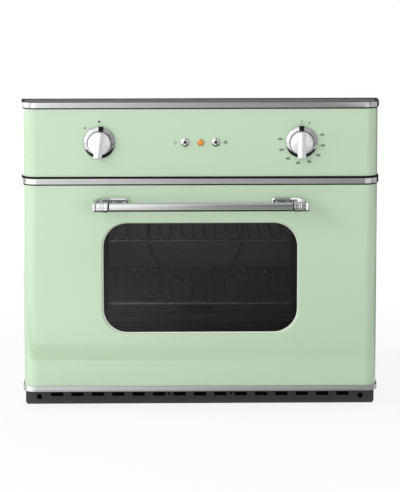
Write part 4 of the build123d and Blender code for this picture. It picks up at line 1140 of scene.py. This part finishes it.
def make_switch_rings():
    """The chrome rings of both switches, and black discs in their holes: painted shade where the holes fall
    dark.
    """
    height = low("switch_bezels").y
    bezels = []
    for x in (-toggle_x, toggle_x):
        rings = [
            (9.3 * mm, front),
            (9.5 * mm, front - 0.4 * mm),
            (9.3 * mm, front - 1.2 * mm),
            (8.6 * mm, front - 2.0 * mm),
            (7.6 * mm, front - 2.6 * mm),
            (6.9 * mm, height),
            (6.6 * mm, height - 0.9 * mm),
            (6.2 * mm, height - 1.3 * mm),
            (4.2 * mm, height - 1.6 * mm),
            (3.5 * mm, height - 1.4 * mm),
            (3.3 * mm, height - 0.9 * mm),
        ]
        bezels.append(lathe("switch_ring", x, control_z, rings, 48))
    ring = join("switch_rings", bezels)
    # Black discs in the holes round the levers: painted shade.
    well_shades = []
    for x in (-toggle_x, toggle_x):
        well_shade = [(3.25 * mm, height), (3.25 * mm, height - 1.0 * mm), (3.0 * mm, height - 1.05 * mm)]
        well_shades.append(lathe("well_shade", x, control_z, well_shade, 32))
    close(join("switch_well_shades", well_shades), black_plastic, "case")
    close(ring, chrome, "case", ["switch_bezels"])


def make_levers():
    for name, body in (("light_lever", "light_toggle"), ("fan_lever", "fan_toggle")):
        lowest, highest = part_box(name)
        x = (lowest.x + highest.x) / 2
        pivot = Vector((x, highest.y - 3.6 * mm, control_z))
        rings = [
            (1.1 * mm, pivot.y + 2.0 * mm),
            (1.1 * mm, pivot.y - 4.0 * mm),
            (1.8 * mm, pivot.y - 6.0 * mm),
            (2.3 * mm, pivot.y - 11.5 * mm),
            (2.4 * mm, pivot.y - 13.0 * mm),
            (2.1 * mm, pivot.y - 14.2 * mm),
            (1.3 * mm, pivot.y - 14.8 * mm),
            (0.4 * mm, pivot.y - 15.0 * mm),
        ]
        lever = lathe(name + "_stick", x, control_z, rings, 32)
        turn_about(lever, lever_lean, "X", pivot)
        close(lever, chrome, body, [name])


def make_pilot():
    height = low("pilot_lamp").y
    rings = [
        (6.0 * mm, front + 19 * mm),
        (6.0 * mm, front),
        (7.8 * mm, front),
        (8.0 * mm, front - 0.4 * mm),
        (7.8 * mm, front - 1.4 * mm),
        (7.3 * mm, front - 2.4 * mm),
        (6.4 * mm, height),
        (6.0 * mm, height + 0.5 * mm),
    ]
    ring = lathe("pilot_ring", 0.0, control_z, rings, 48)
    close(ring, chrome, "case", ["pilot_lamp"])
    tip = low("pilot_lens").y
    lens_rings = [
        (5.9 * mm, height + 2 * mm),
        (5.9 * mm, height + 0.1 * mm),
        (5.7 * mm, height - 0.6 * mm),
        (5.1 * mm, height - 1.3 * mm),
        (3.9 * mm, height - 1.9 * mm),
        (1.8 * mm, tip + 0.06 * mm),
        (0.3 * mm, tip),
    ]
    lens = lathe("pilot_jewel", 0.0, control_z, lens_rings, 48)
    close(lens, amber, "case", ["pilot_lens"])


# Wires: a path drawn out point by point, then given a round section
def bent_wire(name, corners, radius, bend=0.0, closed=False, sides=4):
    piece = start("plane", name, size=mm, location=corners[0])
    bpy.ops.mesh.select_mode(type="VERT")
    take_all()
    bpy.ops.mesh.merge(type="CENTER")
    for here, there in zip(corners, corners[1:]):
        step = Vector(there) - Vector(here)
        bpy.ops.mesh.extrude_vertices_move(TRANSFORM_OT_translate={"value": step})
    if closed:
        ends = (Vector(corners[0]), Vector(corners[-1]))
        pick("verts", lambda c, n: min((c - end).length for end in ends) < 0.1 * mm)
        bpy.ops.mesh.edge_face_add()
    if bend > 0.0:
        take_all()
        bpy.ops.mesh.bevel(offset=bend, segments=8, affect="VERTICES")
    go_to("OBJECT")
    bpy.ops.object.convert(target="CURVE")
    piece = bpy.context.object
    piece.data.bevel_depth = radius
    piece.data.bevel_resolution = sides
    piece.data.use_fill_caps = True
    bpy.ops.object.convert(target="MESH")
    return bpy.context.object


def make_rack(node, body):
    lowest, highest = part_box(node)
    thick = 3.0 * mm
    thin = 2.1 * mm
    side = highest.x - thick
    near_y, far_y = lowest.y + thick, highest.y - thick
    rim_z = lowest.z + thick
    rim = [(-side, near_y, rim_z), (side, near_y, rim_z), (side, far_y, rim_z), (-side, far_y, rim_z)]
    wires = [bent_wire("rim", rim, thick, 12 * mm, True, 6)]
    top = rim_z + thick + thin - 0.3 * mm
    count = 24
    pitch = 24 * mm
    first = -(count - 1) / 2 * pitch
    rung = bent_wire("rung", [(first, lowest.y + mm, top), (first, highest.y - mm, top)], thin, sides=2)
    wires.append(rung)
    wires += [twin(rung, (i * pitch, 0.0, 0.0)) for i in range(1, count)]
    brace_back = 17 * mm
    for y in (near_y + brace_back, far_y - brace_back):
        wires.append(bent_wire("brace", [(-side, y, rim_z), (side, y, rim_z)], 1.3 * mm))
    close(join(node + "_wires", wires), wire, body, [node], 60.0)


def make_guides():
    """Ladders of wire on both cavity walls: runners behind bent posts."""
    lowest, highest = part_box("rack_guides")
    thin = 2.5 * mm
    outer = highest.x - thin
    inner = outer - 2 * thin + 0.3 * mm
    start_y, end_y = lowest.y, highest.y
    pitch = 69.5 * mm
    runner_z = [lowest.z + thin + pitch * i for i in range(5)]
    wires = []
    for z in runner_z:
        runner = [(outer, start_y + thin, z), (inner, start_y + 9 * mm, z), (inner, end_y - 9 * mm, z)]
        runner.append((outer, end_y - thin, z))
        wires.append(bent_wire("runner", runner, thin, 5 * mm))
    for share in (0.05, 0.5, 0.95):
        y = start_y + (end_y - start_y) * share
        wires.append(bent_wire("post", [(outer, y, lowest.z), (outer, y, highest.z)], thin))
    right = join("guides_right", wires)
    left = twin(right, mirror=True)
    left.name = "guides_left"
    close(right, wire, "case", ["rack_guides"], 60.0)
    close(left, wire, "case", (), 60.0)


def make_gasket():
    """A woven rope that lies against the frame all round the cavity mouth."""
    lowest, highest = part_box("door_gasket")
    rope = (highest.y - lowest.y) / 2
    y = (lowest.y + highest.y) / 2
    left, right = lowest.x + rope, highest.x - rope
    foot, head = lowest.z + rope, highest.z - rope
    route = [(left, y, foot), (right, y, foot), (right, y, head), (left, y, head)]
    close(bent_wire("gasket_rope", route, rope, 28 * mm, True, 6), seal, "case", ["door_gasket"])


def make_lamp_lens():
    """A ribbed glass dome over the oven lamp, screwed into its ring."""
    lowest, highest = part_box("lamp_lens")
    x, z = middle("lamp_lens").x, middle("lamp_lens").z
    rim = (highest.x - lowest.x) / 2
    depth = highest.y - lowest.y
    rings = [(rim, highest.y), (rim, highest.y - 0.25 * depth), (0.94 * rim, highest.y - 0.33 * depth)]
    for i in range(1, 9):
        turn = pi / 2 * i / 8.5
        swell = 0.35 * mm * (i % 2)
        rings.append((0.92 * rim * cos(turn) + swell, highest.y - depth * (0.36 + 0.60 * sin(turn))))
    lens = lathe("lamp_dome", x, z, rings, 56)
    close(lens, clear, "case", ["lamp_lens"])


screw_inset = 14 * mm
side_screw_levels = range(40, 521, 120)
top_screw_places = (-345, -172, 0, 172, 345)


def make_case_screws():
    """Pan heads with a round socket along the side panels and the top cover."""
    rings = [(4.0 * mm, 0.0), (3.9 * mm, -1.0 * mm), (3.1 * mm, -1.8 * mm), (1.9 * mm, -2.0 * mm)]
    rings += [(1.7 * mm, -1.9 * mm), (1.6 * mm, -0.9 * mm)]
    wall = high("side_panel_right").x
    depth = high("side_panel_right").y
    first = lathe("side_screw", 0.0, 0.0, rings, 20)
    for vert in first.data.vertices:
        across, along = vert.co.x, vert.co.y
        vert.co = Vector((wall - along, across, vert.co.z))
    turn_out(first)
    columns = (screw_inset, depth - screw_inset)
    spots = [(y, level * mm) for y in columns for level in side_screw_levels]
    right = join("side_screws_right", [twin(first, (0.0, y, z)) for y, z in spots])
    left = twin(right, mirror=True)
    left.name = "side_screws_left"
    bpy.data.objects.remove(first)
    close(right, plain_steel, "case")
    close(left, plain_steel, "case")
    roof = high("top_cover").z
    first = lathe("top_screw", 0.0, 0.0, rings, 20)
    for vert in first.data.vertices:
        up, along = vert.co.z, vert.co.y
        vert.co = Vector((vert.co.x, up, roof - along))
    turn_out(first)
    spots = [(x * mm, y) for x in top_screw_places for y in (12 * mm, depth - 12 * mm)]
    roof_screws = join("top_screws", [twin(first, (x, y, 0.0)) for x, y in spots])
    bpy.data.objects.remove(first)
    close(roof_screws, plain_steel, "case")


def make_fan_guard():
    """A perforated dish just behind the slots of the fan cover."""
    centre = middle("fan_cover")
    back = low("fan_cover").y + 1.6 * mm
    rings = [(101.0 * mm, back + 3.0 * mm), (101.0 * mm, back + 0.4 * mm), (100.4 * mm, back)]
    rings += [(24.0 * mm, back), (22.5 * mm, back + 1.2 * mm), (14.0 * mm, back + 1.2 * mm)]
    close(lathe("fan_guard", centre.x, centre.z, rings, 72), guard_sheet, "case")


def make_elements():
    tube = 3.6 * mm
    lead = 25 * mm
    back_wall = 470 * mm
    wall_gap = 42 * mm
    plate_half = 38 * mm
    for node in ("broil_element", "bake_element"):
        lowest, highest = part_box(node)
        z = (lowest.z + highest.z) / 2
        half = highest.x - tube
        near_y = lowest.y + tube
        far_y = back_wall - wall_gap
        route = [(-lead, highest.y, z), (-lead, far_y, z), (-half, far_y, z), (-half, near_y, z)]
        route += [(-x, y, level) for x, y, level in reversed(route)]
        loop = bent_wire(node + "_tube", route, tube, 20 * mm, False, 6)
        plate = start_block(
            "plate",
            (-plate_half, back_wall - 2.0 * mm, lowest.z),
            (plate_half, back_wall, highest.z),
        )
        pick("edges", lambda c, d: abs(d.y) > 0.9)
        round_edges(6 * mm, 5)
        go_to("OBJECT")
        close(join(node + "_loop", [loop, plate]), element_skin, "case", [node], 60.0)


make_bands()
make_shadow_strips()
make_control_panel()
make_door_skin()
make_window_highlight_bead()
make_handle_bar()
make_handle_ends()
make_bar_spacers()
make_handle_screws()
make_knobs()
make_marks()
make_switch_rings()
make_levers()
make_pilot()
make_rack("lower_rack", "rack_lower")
make_rack("upper_rack", "rack_upper")
make_guides()
make_elements()
make_fan_guard()
make_gasket()
make_lamp_lens()
make_case_screws()


# Studio: a pale floor, soft lamps, the grey screens that the chrome reflects
def make_floor():
    floor = start("plane", "floor", size=16.0, location=(0.0, 0.0, 0.0))
    go_to("OBJECT")
    pale = Finish("pale_floor", Base_Color=(0.80, 0.80, 0.80), Roughness=0.9)
    spot = pale.node("ShaderNodeTexCoord", output="Object")
    away = pale.node("ShaderNodeVectorMath", {"operation": "LENGTH"}, {0: spot}, "Value")
    seen = pale.ramp(away / 4.0, (0.12, 0.87), (0.32, 1.0)) * pale.ray("Camera")
    through = pale.ray("Glossy") * 0.25 + pale.ray("Transmission") * 0.25
    lit = pale.tree.nodes["Principled BSDF"].outputs["BSDF"]
    pale.surface(pale.mix(seen + through, Value(pale, lit), pale.glow((1.0, 1.0, 1.0))))
    floor.data.materials.append(pale.material)


# The strongest light a screen gives, where a tone of 1 stands for plain white
brightest = 2.2


def make_screen(name, lowest, highest, level):
    """A screen that only reflections show, lit by level or by what level works out from x and y."""
    centre = (Vector(lowest) + Vector(highest)) / 2
    size = Vector(highest) - Vector(lowest)
    turned = (0.0, 0.0, 0.0)
    if size.y < size.x and size.y < size.z:
        turned = (pi / 2, 0.0, 0.0)
    if size.x < size.y and size.x < size.z:
        turned = (0.0, pi / 2, 0.0)
    screen = start("plane", name, size=1.0, location=centre, rotation=turned)
    take_all()
    stretch([max(extent, mm) for extent in size], centre)
    go_to("OBJECT")
    card = Finish(name)
    if callable(level):
        spot = card.node("ShaderNodeTexCoord", output="Object")
        x = card.node("ShaderNodeSeparateXYZ", {}, {"Vector": spot}, "X")
        y = card.node("ShaderNodeSeparateXYZ", {}, {"Vector": spot}, "Y")
        dark = card.glow((0.0, 0.0, 0.0))
        light = card.glow((1.0, 1.0, 1.0), brightest)
        card.surface(card.mix(level(card, x, y), dark, light))
    else:
        card.surface(card.glow((1.0, 1.0, 1.0), level))
    screen.data.materials.append(card.material)
    for sight in ("camera", "diffuse", "transmission", "shadow"):
        setattr(screen, "visible_" + sight, False)


def tone_ramp(card, place, tones):
    """Light along one direction, given at places between -1 and 1 metre."""
    return card.ramp((place + 1.0) / 2.0, *[((at + 1.0) / 2.0, tone / brightest) for at, tone in tones])


def floor_tone(card, x, y):
    wide = [(-0.56, 1.9), (-0.46, 1.25), (-0.38, 1.08), (0.08, 0.64), (0.54, 0.44), (0.64, 0.42), (0.74, 1.0)]
    steep = [(-0.50, 1.9), (-0.30, 1.75), (-0.19, 1.5), (0.03, 0.48), (0.22, 0.27), (0.42, 0.22)]
    far = tone_ramp(card, x, wide)
    middling = tone_ramp(card, x, steep)
    share = card.ramp(y * -0.25, (0.10, 0.0), (0.18, 1.0), (0.30, 1.0), (0.50, 0.0))
    shade = card.ramp(y * -1.0, (0.19, 0.02), (0.215, 0.30), (0.235, 0.60), (0.258, 0.92), (0.28, 1.0))
    beside = card.ramp(x.maths("ABSOLUTE"), (0.385, 0.0), (0.44, 1.0))
    return (far + (middling - far) * share) * (shade + (1.0 - shade) * beside)


def upper_tone(card, x, y):
    tones = [(-0.5, 2.0), (-0.19, 1.6), (0.15, 0.50), (0.5, 0.24), (0.85, 0.24), (1.0, 0.9)]
    return tone_ramp(card, x, tones)


def make_screens():
    """The room in reflections: bright on the left, dimmer to the right, black behind right."""
    black = 0.02
    make_screen("back_screen", (-1.0, 3.4, 0.0), (1.0, 3.4, 3.6), 0.18)
    make_screen("ceiling_screen", (-4.0, -8.5, 3.6), (4.0, -0.3, 3.6), upper_tone)
    make_screen("front_screen", (-4.0, -8.5, 0.0), (4.0, -8.5, 3.6), upper_tone)
    make_screen("floor_screen", (-4.0, -8.5, 0.002), (4.0, -0.03, 0.002), floor_tone)
    make_screen("knee_flag", (-0.95, -0.27, 0.10), (0.95, -0.10, 0.10), black)
    make_screen("right_dim_screen", (3.4, -8.5, 0.0), (3.4, -2.8, 3.6), 0.34)
    make_screen("right_screen", (3.4, -2.8, 0.0), (3.4, 0.9, 3.6), 0.7)
    make_screen("right_flag", (0.55, 1.6, 0.0), (3.6, 1.6, 3.0), black)
    make_screen("right_floor_flag", (0.385, 0.30, 0.003), (1.7, 1.6, 0.003), black)
    make_screen("left_back_screen", (-2.6, 1.6, 0.0), (-0.55, 1.6, 0.9), 2.0)
    make_screen("left_front_screen", (-3.2, -8.5, 0.0), (-3.2, -2.4, 3.6), 1.3)


def make_lamp(name, spot, aim, size, power, mirrored=False):
    lamp = bpy.data.lights.new(name, "AREA")
    lamp.shape = "RECTANGLE"
    lamp.size, lamp.size_y = size
    lamp.energy = power
    held = bpy.data.objects.new(name, lamp)
    held.location = spot
    held.rotation_euler = (Vector(aim) - Vector(spot)).to_track_quat("-Z", "Y").to_euler()
    held.visible_glossy = mirrored
    bpy.context.scene.collection.objects.link(held)


def make_world():
    world = bpy.data.worlds.new("studio")
    bpy.context.scene.world = world
    air = Shading(world)
    seen = air.ray("Camera") + air.ray("Glossy") + air.ray("Transmission")
    soft = air.node("ShaderNodeBackground", {}, {"Color": (1.0, 1.0, 1.0), "Strength": 0.5})
    white = air.node("ShaderNodeBackground", {}, {"Color": (1.0, 1.0, 1.0), "Strength": 1.0})
    air.link(air.mix(seen, soft, white), air.tree.nodes["World Output"].inputs["Surface"])


def make_camera():
    aim = Vector((0.0, 0.0, 0.330))
    distance, azimuth, elevation = 7.256, radians(-1.191), radians(9.772)
    back = Vector((sin(azimuth) * cos(elevation), -cos(azimuth) * cos(elevation), sin(elevation)))
    data = bpy.data.cameras.new("camera")
    camera = bpy.data.objects.new("camera", data)
    camera.location = aim + back * distance
    camera.rotation_euler = (-back).to_track_quat("-Z", "Y").to_euler()
    frame_long = 492
    focal_pixels = 3376.2
    shift_pixels = (0.28, 4.46)
    data.sensor_width = 36.0
    data.lens = focal_pixels * data.sensor_width / frame_long
    data.shift_x = shift_pixels[0] / frame_long
    data.shift_y = shift_pixels[1] / frame_long
    bpy.context.scene.collection.objects.link(camera)
    bpy.context.scene.camera = camera


make_floor()
make_screens()
make_lamp("left_box", (-3.0, -0.6, 1.7), (0.0, -0.6, 0.8), (3.6, 3.2), 54.0, True)
make_lamp("key", (-3.0, -4.0, 2.3), (0.0, 0.0, 0.35), (3.0, 2.6), 67.0)
make_lamp("fill", (2.0, -5.6, 1.1), (0.0, 0.0, 0.35), (3.0, 2.0), 54.0)
make_lamp("overhead", (0.0, -0.6, 3.2), (0.0, 0.1, 0.3), (3.0, 2.4), 14.0)
make_lamp("cavity_glow", (0.0, 0.10, 0.474), (0.0, 0.30, 0.10), (0.50, 0.12), 1.35)
make_world()
make_camera()
bpy.context.scene.view_settings.view_transform = "Standard"
